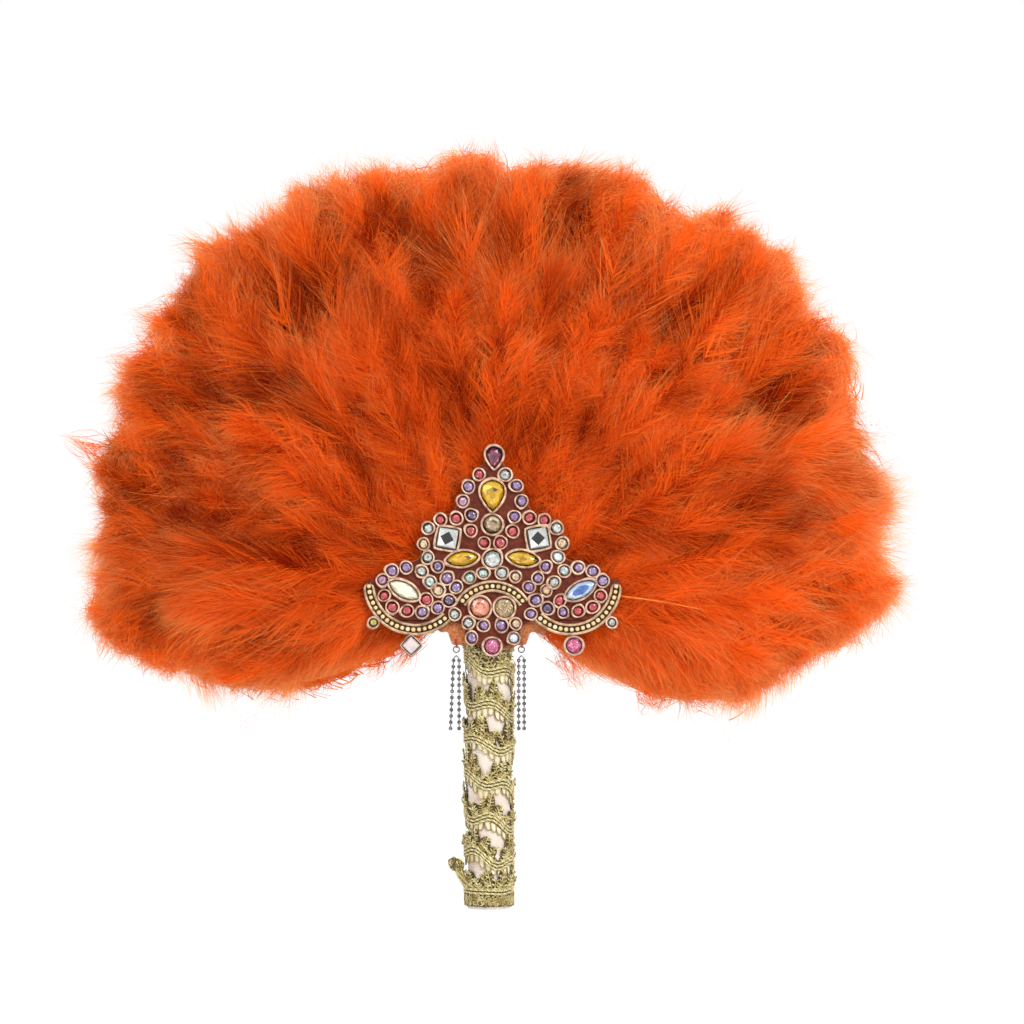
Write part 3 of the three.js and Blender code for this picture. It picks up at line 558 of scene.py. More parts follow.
def plume_feathers(rng, lean, half, room, feathers, fans, reach, barb_length, guides, barbs):
    """Full feathers side by side in a plume, and fans of stiffer barbs on its face, painted bright as
    streaks of highlight.
    """
    strands = []
    for i in range(feathers):
        place = 1.1 * ((i + rng.uniform(0.2, 0.8)) / feathers * 2 - 1)
        aim = np.clip(lean + place * half, -LOWEST_LEAN, LOWEST_LEAN)
        tip = reach(aim) * rng.uniform(0.92, 1.0)
        level = rng.uniform(0.7, 0.95) if i % 2 else rng.uniform(0.1, 0.65)
        path, tone, width, pale = feather(
            rng, tip - barb_length * 0.22, QUILL_ROOT, math.radians(lean - aim), rng.normal(0, 6), level,
            room, barb_length * rng.uniform(0.85, 1.1), guides, barbs)
        strands.append((path, tone + rng.normal(0, 0.06), width, pale))
    for _ in range(fans):
        start = reach(lean) * rng.uniform(0.36, 0.62)
        aside = math.radians(half * rng.uniform(-0.8, 0.8))
        path, tone, width, pale = feather(
            rng, start + rng.uniform(45, 75), start, aside, rng.normal(0, 8), 0.97, room, barb_length * 1.15,
            guides=36, barbs=160, spread=0.12)
        # Lighter tone and paleness: painted highlight streaks.
        strands.append((path, tone + 0.3, width * 0.85, pale + 0.35))
    return strands


def plume_in_place(rng, path, lean, side, room, layer):
    """Strands pressed into their plume's thickness, turned to its lean and swirled as their layer is."""
    across, along = path[..., 0], path[..., 1]
    floor, thick = room(across, along)
    loose = thick * rng.choice([0.56, 0.68, 0.95], len(path), p=[0.6, 0.3, 0.1])[:, None]
    height = floor + thick / 2 + loose * np.tanh((path[..., 2] - floor - thick / 2) / loose)
    turn = math.radians(lean)
    world = np.stack([
        across * math.cos(turn) - along * math.sin(turn),
        -side * height,
        HUB_Z + across * math.sin(turn) + along * math.cos(turn),
    ], axis=-1)
    swirl = np.zeros((len(world), 3))
    swirl[:, 0] = 5.0 * patches(world[:, 0], 20 + 2 * layer, 45, 110)
    swirl[:, 2] = 5.0 * patches(world[:, 0], 21 + 2 * layer, 45, 110) - 3.0
    return world + swirl[:, None] * (ALONG * ALONG)[None, :, None]


def plume_colours(rng, world, tone, pale, lean, half, lift, seed):
    """Tone and paleness by place: patches, painted shade between plumes, painted light on the lower lobes
    and the right side, and painted glow at the edge.
    """
    middle = world[:, 2]
    away = np.hypot(middle[:, 0], middle[:, 2] - HUB_Z)
    bearing = np.arctan2(middle[:, 0], middle[:, 2] - HUB_Z)
    plumage = np.stack([bearing * 130, away / 2.6, middle[:, 1]], axis=1)
    aside = np.degrees(bearing) + lean - 3.5 * np.sin(away / 38 + seed)
    # Painted shade in the gaps: darker towards each plume's sides.
    between_plume_shade = np.clip(np.abs(aside) / half, 0, 1.3) ** 2
    lobe = smoothstep(68, 104, np.abs(np.degrees(bearing)))
    edge_glow = smoothstep(34, 0, edge_gap(np.degrees(-bearing), away))
    tone = tone + 0.17 * patches(plumage, 17, 9, 34) + 0.09 * patches(middle, 8, 10, 30)
    # Painted light: the lower lobes lighter, those on the right more so; below, the tone also grows to the
    # right as painted light from that side.
    lobe_light = (0.19 + 0.05 * np.sign(middle[:, 0])) * lobe
    tone += lift - 0.02 + 0.0005 * middle[:, 0] + lobe_light - 0.15 * between_plume_shade * smoothstep(40, 120, away)
    # Painted glow of light through the thin edge: lighter tone near the outline, more on the lower lobes.
    tone = np.clip(tone + (0.15 + 0.2 * lobe) * edge_glow, 0.02, 0.98)
    # Paleness near the outline and on the lower lobes moves strands towards the painted tip glow.
    bright = np.maximum(0.75 * edge_glow, 0.3 * lobe) * rng.uniform(0.3, 1.0, len(pale))
    return tone, np.maximum(pale, bright)


def plume(name, lean, side, finish, slot, seed, depth, reach, feathers, barb_length, half, guides, barbs,
          wide=1.0, fuzz=0, down=0, lift=0.0, fans=0, curling=0, cover=0):
    """One plume on the front, side 1, or the back, side -1: feathers that stand for one CAD node."""
    rng = np.random.default_rng(seed)

    def room(across, along):
        floor, thick = depth(np.maximum(along, 0))
        return floor, thick * crown(np.degrees(np.arctan2(across, np.maximum(along, 1))) / half)

    strands = plume_feathers(rng, lean, half, room, feathers, fans, reach, barb_length, guides, barbs)
    strands.append(undercoat(rng, half, reach(lean), room, down, 0.1, 0.6))
    strands.append(undercoat(rng, half, reach(lean), room, cover, 0.6, 1.0))
    strands.append(curls(rng, half, reach(lean), room, curling))
    strands.append(fringe(rng, lean, half, room, fuzz))
    path, tone, width, pale = (np.concatenate(group) for group in zip(*strands))
    world = plume_in_place(rng, path, lean, side, room, seed // 100)
    inner = len(world) - fuzz
    world[:inner] = kept_inside(world[:inner], rng)
    tone, pale = plume_colours(rng, world, tone, pale, lean, half, lift, seed)
    facing = rng.normal(0, 0.55, (len(tone), 3)) + np.array([0, 1.0, 0])
    # Place along the colour ramp, from painted root shade to painted tip glow; paleness starts a strand
    # further up it.
    shade = 0.02 + 0.96 * (pale[:, None] + (1 - pale[:, None]) * ALONG)
    return down_piece(name.replace("plume", "feathers"), world, wide * width, facing, shade, tone, finish,
                      slot=slot, replaces=[name])


def tuft(rng, tip, size, count, hanging=False):
    """Barbs gathered to a ragged wisp that stands out of the fan's edge, or hangs from it, at (x, z)."""
    tip = np.array([tip[0], rng.normal(0, 6), tip[1]])
    lean = np.degrees(np.arctan2(-tip[0], tip[2] - HUB_Z))
    out = edge_normal(lean)
    inward = unit(np.array([-tip[0], 0, HUB_Z - tip[2]]) / 200 - np.array([out[0], 0, out[1]]))
    if hanging:
        inward = unit(np.array([rng.normal(0.45, 0.25) * -np.sign(tip[0]), 0, 1.0]))
    aside = np.array([inward[2], 0, -inward[0]])
    u = ALONG[None, :, None]
    each = (count, 1, 1)
    drift = rng.normal(0, 5) * size
    back = size * rng.uniform(18, 52, each)
    bow = rng.normal(0, 3.0, each)
    end = tip + inward * size * rng.gamma(1.6, 6.0, each) + rng.normal(0, 1.8, (count, 1, 3))
    base = tip + inward * back + aside * (rng.normal(0, 6.0, each) * size + drift)
    return base + rng.normal(0, 1.5, (count, 1, 3)) + (end - base) * u + aside * bow * np.sin(u * math.pi)


def make_tufts(places, hanging, finish):
    """Wisps at chosen places of the fan's edge, then hanging ones at its lower edges and more all round."""
    rng = np.random.default_rng(400)
    groups = [tuft(rng, place, 1.0, 90) for place in places]
    groups += [tuft(rng, place, 0.6, 45, True) for place in hanging]

    def scatter(leans, least, most, smallest, largest, count, hangs):
        for lean in leans:
            spot = edge_point(np.array(lean)) + edge_normal(np.array(lean)) * rng.uniform(least, most)
            groups.append(tuft(rng, spot + [0, HUB_Z], rng.uniform(smallest, largest), count, hangs))

    scatter(np.append(rng.uniform(-121, -93, 45), rng.uniform(92, 117, 45)), -1, 7, 0.3, 0.55, 40, True)
    scatter(rng.uniform(-120, 116, 100), -2, 9, 0.35, 0.8, 36, False)
    path = np.concatenate(groups)
    count = len(path)
    width = rng.uniform(0.22, 0.38, count)
    facing = rng.normal(0, 0.5, (count, 3)) + np.array([0, 1.0, 0])
    shade = np.broadcast_to(0.5 + 0.48 * ALONG, (count, BARB_STATIONS))
    tone = np.clip(rng.normal(0.7, 0.12, count), 0.02, 0.98)
    return down_piece("feather_tufts", path, width, facing, shade, tone, finish, slot="feather")


def make_quill(finish):
    """One bare shaft that shows in front of the feathers beside the applique."""
    u = np.linspace(0, 1, 12)[:, None]
    root, tip = np.array([68.0, -13.5, 178.6]), np.array([121.0, -35.0, 170.5])
    path = root + (tip - root) * u + np.array([0, -5.5, 1.0]) * np.sin(u * math.pi)
    pile = Pile()
    tubes(pile, path[None], np.linspace(0.75, 0.22, 12), 7)
    pile.build("bare_quill", finish, slot="feather")


def lean_of(index, count, spread):
    """Lean of one of several plumes that share out a spread."""
    return -spread / 2 + spread / (count - 1) * index


# Materials

def srgb(r, g, b):
    """Linear colour of an 8 bit sRGB one."""
    values = np.array([r, g, b]) / 255
    linear = np.where(values <= 0.04045, values / 12.92, ((values + 0.055) / 1.055) ** 2.4)
    return (*linear.tolist(), 1.0)


def new_material(name):
    """A new material with its node tree and its main shader."""
    made = bpy.data.materials.new(name)
    made.use_nodes = True
    return made, made.node_tree, made.node_tree.nodes["Principled BSDF"]


def set_inputs(node, values):
    """Set a node's inputs by their names."""
    for name, value in values.items():
        node.inputs[name].default_value = value


def ramp(tree, source, stops):
    """A value turned into colours by stops of (place, colour)."""
    node = tree.nodes.new("ShaderNodeValToRGB")
    while len(node.color_ramp.elements) < len(stops):
        node.color_ramp.elements.new(0.5)
    for element, (place, colour) in zip(node.color_ramp.elements, stops):
        element.position = place
        element.color = colour
    tree.links.new(source, node.inputs["Fac"])
    return node.outputs["Color"]


def multiplied(tree, first, second):
    """One colour times another."""
    node = tree.nodes.new("ShaderNodeMix")
    node.data_type = "RGBA"
    node.blend_type = "MULTIPLY"
    node.inputs[0].default_value = 1.0
    tree.links.new(first, node.inputs[6])
    tree.links.new(second, node.inputs[7])
    return node.outputs[2]


def shaders_mixed(tree, factor, first, second, output):
    """Two shaders mixed by a number or a socket, as the tree's output node shows them."""
    both = tree.nodes.new("ShaderNodeMixShader")
    if isinstance(factor, bpy.types.NodeSocket):
        tree.links.new(factor, both.inputs[0])
    else:
        both.inputs[0].default_value = factor
    tree.links.new(first, both.inputs[1])
    tree.links.new(second, both.inputs[2])
    tree.links.new(both.outputs["Shader"], tree.nodes[output].inputs["Surface"])


def noise(tree, scale, detail=3.0, stretch=None):
    """Noise in the object's own space, in metres."""
    place = tree.nodes.new("ShaderNodeTexCoord").outputs["Object"]
    if stretch:
        mapping = tree.nodes.new("ShaderNodeMapping")
        mapping.inputs["Scale"].default_value = stretch
        tree.links.new(place, mapping.inputs["Vector"])
        place = mapping.outputs["Vector"]
    node = tree.nodes.new("ShaderNodeTexNoise")
    set_inputs(node, {"Scale": scale, "Detail": detail})
    tree.links.new(place, node.inputs["Vector"])
    return node.outputs["Fac"]


def bump(tree, shader, height, strength, distance):
    """Fine relief from a value, its distance in metres."""
    node = tree.nodes.new("ShaderNodeBump")
    set_inputs(node, {"Strength": strength, "Distance": distance})
    tree.links.new(height, node.inputs["Height"])
    tree.links.new(node.outputs["Normal"], shader.inputs["Normal"])


def face_tone(tree):
    """The tone that a piece gives each of its faces."""
    node = tree.nodes.new("ShaderNodeAttribute")
    node.attribute_name = "tone"
    return node.outputs["Fac"]


def grey(value):
    """A linear grey."""
    return (value, value, value, 1.0)


def roughness(tree, shader, source, low, high):
    """Roughness that goes from low to high as a value grows."""
    uneven = ramp(tree, source, [(0.3, grey(low)), (0.7, grey(high))])
    tree.links.new(uneven, shader.inputs["Roughness"])


TRANSLUCENCE = 0.42  # share of the light that down lets through
GLASS_IOR = 1.62


def feather_finish(name, root, middle, tip, glow):
    """Down that lets light through, coloured along each strand, with painted shade at its root and painted
    glow at its tip, and toned strand by strand.
    """
    made, tree, shader = new_material(name)
    place = tree.nodes.new("ShaderNodeUVMap")
    place.uv_map = "OFBake"
    split = tree.nodes.new("ShaderNodeSeparateXYZ")
    tree.links.new(place.outputs["UV"], split.inputs["Vector"])
    # Root colour darker as painted shade inside the down; tip colour paler as painted glow of light through
    # the thin ends.
    along = ramp(tree, split.outputs["X"], [(0, root), (0.3, middle), (0.75, middle), (1, tip)])
    tone = ramp(tree, split.outputs["Y"], [
        (0, srgb(146, 57, 32)), (0.5, srgb(232, 203, 188)), (1, srgb(255, 255, 255))])
    colour = multiplied(tree, along, tone)
    tree.links.new(colour, shader.inputs["Base Color"])
    set_inputs(shader, {"Roughness": 0.75, "Specular IOR Level": 0.04})
    set_inputs(shader, {"Sheen Weight": 0.05, "Sheen Tint": glow})
    through = tree.nodes.new("ShaderNodeBsdfTranslucent")
    tree.links.new(colour, through.inputs["Color"])
    shaders_mixed(tree, TRANSLUCENCE, shader.outputs["BSDF"], through.outputs["BSDF"], "Material Output")
    return made


def metal_finish(name, dark, light, rough, wear, metallic=0.75):
    """Cast plated metal: darker in its mottling, with uneven polish."""
    made, tree, shader = new_material(name)
    cloud = noise(tree, wear, 5.0)
    each = ramp(tree, face_tone(tree), [(0.0, grey(0.62)), (1.0, grey(1.0))])
    plating = ramp(tree, cloud, [(0.3, dark), (0.62, light)])
    tree.links.new(multiplied(tree, plating, each), shader.inputs["Base Color"])
    shader.inputs["Metallic"].default_value = metallic
    roughness(tree, shader, cloud, rough + 0.14, rough)
    bump(tree, shader, noise(tree, wear * 4), 0.35, 0.0002)
    return made


def gem_finish(name, dark, body, light, rough=0.06):
    """Cut glass: each facet's tone is painted light and shade, the reflections it returns from inside the
    stone.
    """
    made, tree, shader = new_material(name)
    inside = ramp(tree, face_tone(tree), [(0.0, dark), (0.45, body), (0.75, body), (1.0, light)])
    clouds = ramp(tree, noise(tree, 420.0, 2.0), [(0.3, grey(0.72)), (0.7, grey(1.0))])
    tree.links.new(multiplied(tree, inside, clouds), shader.inputs["Base Color"])
    set_inputs(shader, {"IOR": GLASS_IOR, "Coat Weight": 0.4, "Coat Roughness": 0.04})
    roughness(tree, shader, noise(tree, 900.0, 2.0), rough, rough + 0.05)
    return made


def felt_finish(name, dark, light, scale=900.0, sheen=0.35):
    """Felt, board or leather: fine fibres over wider patches."""
    made, tree, shader = new_material(name)
    fibres = noise(tree, scale, 6.0)
    patch = ramp(tree, noise(tree, 90.0, 3.0), [(0.3, grey(0.8)), (0.7, grey(1.0))])
    colour = multiplied(tree, ramp(tree, fibres, [(0.3, dark), (0.7, light)]), patch)
    tree.links.new(colour, shader.inputs["Base Color"])
    roughness(tree, shader, fibres, 0.95, 0.8)
    shader.inputs["Sheen Weight"].default_value = sheen
    bump(tree, shader, fibres, 0.6, 0.0004)
    return made


def thread_finish(name, dark, body, light, metallic, rough):
    """Twisted gilt thread, toned strand by strand, with fine winding lines."""
    made, tree, shader = new_material(name)
    strand = ramp(tree, face_tone(tree), [(0.0, dark), (0.5, body), (1.0, light)])
    fine = noise(tree, 1500.0, 2.0)
    lines = ramp(tree, fine, [(0.35, grey(0.7)), (0.6, grey(1.0))])
    tree.links.new(multiplied(tree, strand, lines), shader.inputs["Base Color"])
    set_inputs(shader, {"Metallic": metallic, "Sheen Weight": 0.2})
    roughness(tree, shader, fine, rough + 0.12, rough)
    bump(tree, shader, fine, 0.5, 0.0002)
    return made


def satin_finish(name, light, shade):
    """Woven satin: bright along its weave, with painted warm shade in soft noise folds."""
    made, tree, shader = new_material(name)
    folds = noise(tree, 60.0, 2.0, (1.0, 1.0, 0.35))
    # Fold noise moves the colour towards the shade colour: painted shade of folds.
    tree.links.new(ramp(tree, folds, [(0.3, shade), (0.6, light)]), shader.inputs["Base Color"])
    weave = noise(tree, 700.0, 2.0, (4.0, 4.0, 0.3))
    roughness(tree, shader, weave, 0.42, 0.3)
    set_inputs(shader, {"Anisotropic": 0.5, "Sheen Weight": 0.4})
    bump(tree, shader, weave, 0.25, 0.0002)
    return made


def wood_finish(name, dark, light):
    """Wood with its grain up the handle."""
    made, tree, shader = new_material(name)
    grain = noise(tree, 160.0, 5.0, (1.0, 1.0, 0.08))
    tree.links.new(ramp(tree, grain, [(0.3, dark), (0.7, light)]), shader.inputs["Base Color"])
    roughness(tree, shader, grain, 0.6, 0.45)
    bump(tree, shader, grain, 0.3, 0.0003)
    return made


outer_down = feather_finish("outer_feathers", srgb(226, 68, 6), srgb(255, 125, 34), srgb(255, 194, 122),
                            srgb(255, 130, 60))
inner_down = feather_finish("inner_feathers", srgb(224, 66, 6), srgb(255, 120, 32), srgb(255, 180, 104),
                            srgb(255, 125, 55))
quill_horn = metal_finish("quill_horn", srgb(225, 90, 15), srgb(255, 140, 35), 0.4, 300.0, 0.0)
rose_gold = metal_finish("rose_gold", srgb(150, 106, 80), srgb(238, 202, 174), 0.3, 300.0, 0.5)
rail_gold = metal_finish("rail_gold", srgb(148, 110, 76), srgb(234, 200, 162), 0.3, 260.0, 0.5)
bronze_and_painted_shade = metal_finish("channel_bronze_and_painted_shade", srgb(58, 38, 18), srgb(104, 74, 40), 0.45, 400.0)
bead_gilt = gem_finish("bead_gilt", srgb(170, 125, 65), srgb(240, 208, 150), srgb(255, 244, 215), 0.18)
chain_metal = metal_finish("chain_metal", srgb(70, 66, 66), srgb(150, 146, 146), 0.3, 900.0)
chain_glass = gem_finish("chain_glass", srgb(25, 22, 25), srgb(88, 84, 88), srgb(215, 212, 215))
leather = felt_finish("backing_leather", srgb(80, 25, 8), srgb(120, 43, 14), 500.0, 0.02)
felt = felt_finish("backing_felt", srgb(150, 78, 40), srgb(206, 128, 76), sheen=0.2)
cover_felt = felt_finish("cover_felt", srgb(128, 40, 18), srgb(176, 68, 34))
gilt_thread = thread_finish("gilt_thread", srgb(84, 68, 20), srgb(174, 153, 82), srgb(238, 226, 172),
                            0.25, 0.38)
gilt_ground_and_shade = thread_finish("gilt_ground_and_shade", srgb(52, 41, 10), srgb(90, 74, 26), srgb(136, 116, 56), 0.1, 0.7)
sewing_thread = thread_finish("sewing_thread", srgb(90, 35, 18), srgb(150, 62, 34), srgb(190, 100, 60),
                              0.0, 0.6)
scallop = satin_finish("scallop_thread", srgb(244, 234, 210), srgb(222, 204, 164))
white_satin = satin_finish("white_satin", srgb(240, 230, 216), srgb(214, 190, 170))
pale_wood = wood_finish("pale_wood", srgb(150, 108, 68), srgb(196, 154, 106))
red_board = felt_finish("red_board", srgb(110, 32, 12), srgb(152, 54, 24), 300.0)

# Tints of the stones: darkest facets, body and brightest facets
TINTS = {
    "violet": ((66, 46, 80), (158, 124, 170), (228, 214, 236)),
    "dusk": ((28, 20, 34), (110, 86, 118), (210, 194, 214)),
    "lilac": ((122, 70, 112), (196, 138, 170), (240, 212, 230)),
    "rose": ((110, 24, 34), (198, 72, 80), (240, 156, 150)),
    "clear": ((14, 14, 14), (196, 200, 194), (253, 253, 252)),
    "mint": ((84, 112, 102), (190, 216, 206), (242, 251, 246)),
    "champagne": ((140, 94, 58), (228, 194, 154), (252, 240, 220)),
    "milk": ((176, 188, 206), (226, 236, 246), (253, 254, 255)),
    "garnet": ((26, 14, 28), (122, 52, 78), (228, 136, 156)),
    "citrine": ((72, 46, 6), (218, 168, 22), (252, 228, 100)),
    "smoky": ((66, 48, 34), (168, 142, 108), (228, 208, 178)),
    "opal": ((206, 202, 164), (240, 236, 206), (255, 254, 238)),
    "blue": ((24, 46, 140), (120, 170, 232), (240, 248, 254)),
    "peach": ((130, 58, 36), (236, 152, 124), (255, 240, 232)),
    "pink": ((142, 46, 88), (214, 98, 144), (246, 176, 200)),
    "druzy": ((84, 60, 32), (182, 152, 106), (238, 220, 176)),
    "blush": ((120, 100, 100), (226, 208, 208), (252, 246, 245)),
    "straw": ((118, 98, 38), (206, 184, 96), (252, 244, 190)),
}
GEMS = {
    tint: gem_finish(f"{tint}_glass", *(srgb(*colour) for colour in colours),
                     0.2 if tint == "druzy" else 0.06)
    for tint, colours in TINTS.items()
}


# Applique

PITCH = 8.4  # between neighbouring small stones
CENTRE = middle_mm("crystal_round")[[0, 2]]
PLATE_DEPTH = -box_mm("setting_frame")[1][1]
GIRDLE_DEPTH = PLATE_DEPTH + 1.2
RIM_DEPTH = PLATE_DEPTH + 3.35
SMALL_STONE = 2.85
STONE_EASE = 0.08  # by which a bezel's inside is tighter than its stone
SMALL_RISE, LARGE_RISE, DRUZY_RISE = 1.1, 1.7, 1.6  # of the stones' crowns over their girdles
SKIRT = 0.8  # of a stone below its girdle
SETTING_COVER, STONE_COVER, RAIL_COVER = 3.7, 0.9, 2.2  # radii of plate that go with them
FELT_HEM = box_mm("chain_right_ring")[1][2] + 8.0  # lower edge of the felt between its foot and its wings
# Small stones: place in pitches to the right of the middle, tint on the left and on the right
SEATS = [
    (0.87, 5.68, "rose", "clear"), (1.63, 4.92, "violet", "violet"), (1.99, 3.88, "lilac", "violet"),
    (1.43, 2.88, "dusk", "violet"), (2.5, 2.74, "rose", "rose"), (3.49, 2.6, "rose", "rose"),
    (1.39, 1.88, "rose", "rose"), (0.55, 1.1, "rose", "rose"), (4.36, 2.05, "clear", "clear"),
    (4.69, 0.99, "champagne", "champagne"), (4.39, 0.07, "clear", "milk"), (3.65, -0.51, "violet", "violet"),
    (4.8, -0.81, "clear", "clear"), (5.81, -0.6, "violet", "violet"), (6.79, -0.81, "violet", "violet"),
    (7.44, -1.44, "lilac", "violet"), (3.08, -1.3, "violet", "violet"), (1.51, -1.27, "mint", "champagne"),
    (0.62, -1.0, "mint", "clear"), (4.18, -1.56, "mint", "clear"), (2.44, -1.93, "violet", "violet"),
    (3.67, -2.17, "champagne", "champagne"), (7.3, -2.52, "rose", "rose"), (4.48, -2.75, "rose", "rose"),
    (2.94, -2.83, "dusk", "violet"), (6.73, -3.26, "rose", "rose"), (5.77, -3.54, "rose", "rose"),
    (4.73, -3.62, "violet", "violet"), (3.73, -3.33, "violet", "dusk"), (2.57, -3.71, "clear", "violet"),
    (1.63, -4.38, "clear", "champagne"), (0.57, -4.49, "violet", "violet"), (1.4, -5.37, "violet", "milk"),
]
# Larger stones: CAD node, form, tint, place in pitches, half length and width in mm, turn in degrees
STONES = [
    ("inset_stones", "pear", "garnet", 0.1, 6.82, 5.9, 4.4, 180),
    ("inset_stones", "druzy", "druzy", 0.81, -3.32, 5.3, 5.3, 0),
    ("inset_stones", "druzy", "pink", 0.0, -5.9, 4.25, 4.25, 0),
    ("inset_stones", "square", "blush", -5.5, -5.85, 4.2, 4.2, 45),
    ("inset_stones", "druzy", "pink", 5.5, -5.85, 4.2, 4.2, 0),
    ("inset_stones", "round", "straw", -8.04, -4.29, 2.2, 2.2, 0),
    ("inset_stones", "round", "clear", 8.04, -4.29, 2.2, 2.2, 0),
    ("citrine_pear", "pear", "citrine", 0.0, 4.23, 8.5, 6.5, 180),
    ("smoky_round", "round", "smoky", 0.0, 2.31, 5.0, 5.0, 0),
    ("crystal_round", "round", "clear", 0.0, 0.0, 4.75, 4.75, 0),
    ("citrine_marquise_left", "marquise", "citrine", -2.04, 0.0, 8.75, 3.9, 8),
    ("citrine_marquise_right", "marquise", "citrine", 2.04, 0.0, 8.75, 3.9, -8),
    ("square_stone_left", "square", "clear", -3.07, 1.39, 5.9, 5.9, -10),
    ("square_stone_right", "square", "clear", 3.07, 1.39, 5.9, 5.9, 10),
    ("opal_marquise", "marquise", "opal", -5.94, -2.13, 9.25, 4.2, -28),
    ("blue_marquise", "marquise", "blue", 5.94, -2.13, 9.25, 4.2, 28),
    ("peach_round", "round", "peach", -0.83, -3.29, 5.5, 5.5, 0),
]
STONE_SLOTS = {
    "citrine_pear": "citrine", "smoky_round": "smoky_glass", "crystal_round": "clear_glass",
    "citrine_marquise_left": "citrine", "citrine_marquise_right": "citrine",
    "square_stone_left": "clear_glass", "square_stone_right": "clear_glass",
    "opal_marquise": "opal_glass", "blue_marquise": "blue_glass", "peach_round": "peach_glass",
}
# Rails: name, middle and radius in pitches, first and last angle, whether each end narrows, and a seed
RAILS = [
    ("left", -5.24, -1.67, 3.1, 180, 314, (True, False), 61),
    ("right", 5.24, -1.67, 3.1, 0, -134, (True, False), 62),
    ("arch", 0.0, -4.4, 2.56, 146, 34, (False, False), 63),
]
RAIL_HALF = 3.3  # half the width of a rail
BEAD_SPACING = 3.0
BEAD_SIZE = 1.25


def seat(x, y):
    """A place of the applique's layout in the front plane."""
    return CENTRE + np.array([x, y]) * PITCH


def stone_loop(form, length, width, turn, count):
    """Outline of a stone about its own middle, anticlockwise."""
    t = turns(count)
    wave = np.sin(t)
    if form == "marquise":
        loop = np.stack([length * np.cos(t), width * np.sign(wave) * np.abs(wave) ** 1.5], axis=1)
    elif form == "pear":
        loop = np.stack([-width * wave * np.sin(t / 2) / 0.77, length * np.cos(t)], axis=1)
    elif form == "square":
        corner = np.maximum(np.abs(np.cos(t)), np.abs(wave)) ** 0.86
        loop = np.stack([length * np.cos(t) / corner, width * wave / corner], axis=1)
    else:
        loop = np.stack([length * np.cos(t), width * wave], axis=1)
    return turned(loop, math.radians(turn))


def brilliant(pile, loop, middle, girdle, rise, rng, slot, table=0.56, tint=""):
    """A cut stone on a loop of 16 points: girdle facets, kites, stars, and a table, their tones painted
    reflections from inside.
    """
    odd, even = np.arange(1, 16, 2), np.arange(0, 16, 2)
    i = np.arange(8)
    j = (i + 1) % 8
    low, edge, kite, star, inner = 0, 16, 32, 40, 48
    flat = np.concatenate([loop * 0.86, loop, loop[odd] * (table + 1) / 2 * 1.04, loop[even] * table,
                           loop[odd] * table * 0.5])
    level = np.repeat([-SKIRT, 0.0, rise * 0.66, rise, rise], [16, 16, 8, 8, 8])
    first = pile.add(on_face(middle + flat, girdle + level))
    glint = unit(rng.normal(0, 1, 2)) / np.abs(loop).max()

    def facets(corners, least, most, facing=1):
        """Faces that are lighter on the side that the light comes from."""
        lit = 0.5 + 0.5 * facing * flat[corners].mean(axis=1) @ glint
        lit = lit + rng.uniform(-0.35, 0.35, len(corners))
        pile.more(first, corners, slot, least + (most - least) * np.clip(lit, 0, 1))

    ring = np.arange(16)
    after = (ring + 1) % 16
    facets(np.stack([low + ring, low + after, edge + after, edge + ring], 1), 0.1, 0.4)
    least = {"blue": 0.8, "opal": 0.55}.get(tint, 0.0)
    facets(np.stack([edge + 2 * i, edge + 2 * i + 1, kite + i], 1), least, 0.85)
    facets(np.stack([edge + 2 * i + 1, edge + (2 * i + 2) % 16, kite + i], 1), least, 0.85)
    facets(np.stack([edge + (2 * i + 2) % 16, kite + j, star + j, kite + i], 1), max(least, 0.1), 1.0)
    facets(np.stack([kite + i, star + j, star + i], 1), max(least, 0.15), 1.0)
    inside = {"blue": (0.0, 0.3), "opal": (0.6, 0.9), "citrine": (0.0, 0.9)}.get(tint, (0.0, 1.0))
    facets(np.stack([star + i, star + j, inner + i], 1), *inside, -1)
    facets(np.stack([inner + i, star + j, inner + j], 1), *inside, -1)
    facets(inner + i[None], *inside, -1)


def step_cut(pile, loop, middle, girdle, rise, slot, centre_tone, twist):
    """A square stone with a flat border and a small turned table."""
    corners = loop[np.arange(2, 16, 4)]
    table = turned(corners, twist) * (0.5 if centre_tone == 0 else 0.74)
    first = pile.add(np.concatenate([
        on_face(middle + corners * 0.98, girdle - SKIRT), on_face(middle + corners, girdle),
        on_face(middle + corners * 0.86, girdle + rise * 0.7), on_face(middle + table, girdle + rise)]))
    i = np.arange(4)
    j = (i + 1) % 4
    # Fixed tones per facet: painted reflections, light and dark round the border, and a dark table where
    # centre_tone is 0.
    for row, tones in enumerate(([0.2, 0.1, 0.2, 0.1], [0.9, 0.35, 0.5, 1.0], [0.55, 0.98, 0.8, 0.4])):
        a, b = 4 * row, 4 * row + 4
        pile.more(first, np.stack([a + i, a + j, b + j, b + i], 1), slot, tones)
    pile.more(first, 12 + i[None], slot, centre_tone)


def druzy(pile, radius, middle, girdle, rise, rng, slot):
    """A low dome of many small broken facets."""
    rings, count = 6, 22
    points, rows = [], []
    for row in range(rings):
        share = 1 - row / rings
        t = turns(count) + 0.5 * row * TURN / count
        spread = radius * share * (1 + rng.normal(0, 0.03, count) * (row > 0))
        height = girdle + rise * (1 - share ** 2) + rng.normal(0, 0.16, count) * (row > 0)
        points.append(on_face(middle + circle(t) * spread[:, None], height))
    points.append(on_face(middle[None], girdle + rise))
    first = pile.add(np.concatenate(points))
    quads = grid_quads(rings, count, closed=True)
    halves = np.concatenate([quads[:, [0, 1, 2]], quads[:, [0, 2, 3]]])
    last = (rings - 1) * count + np.arange(count)
    tip = np.stack([last, np.roll(last, -1), np.full(count, rings * count)], 1)
    for corners in (halves, tip):
        pile.more(first, corners, slot, np.clip(rng.normal(0.5, 0.3, len(corners)), 0, 1))


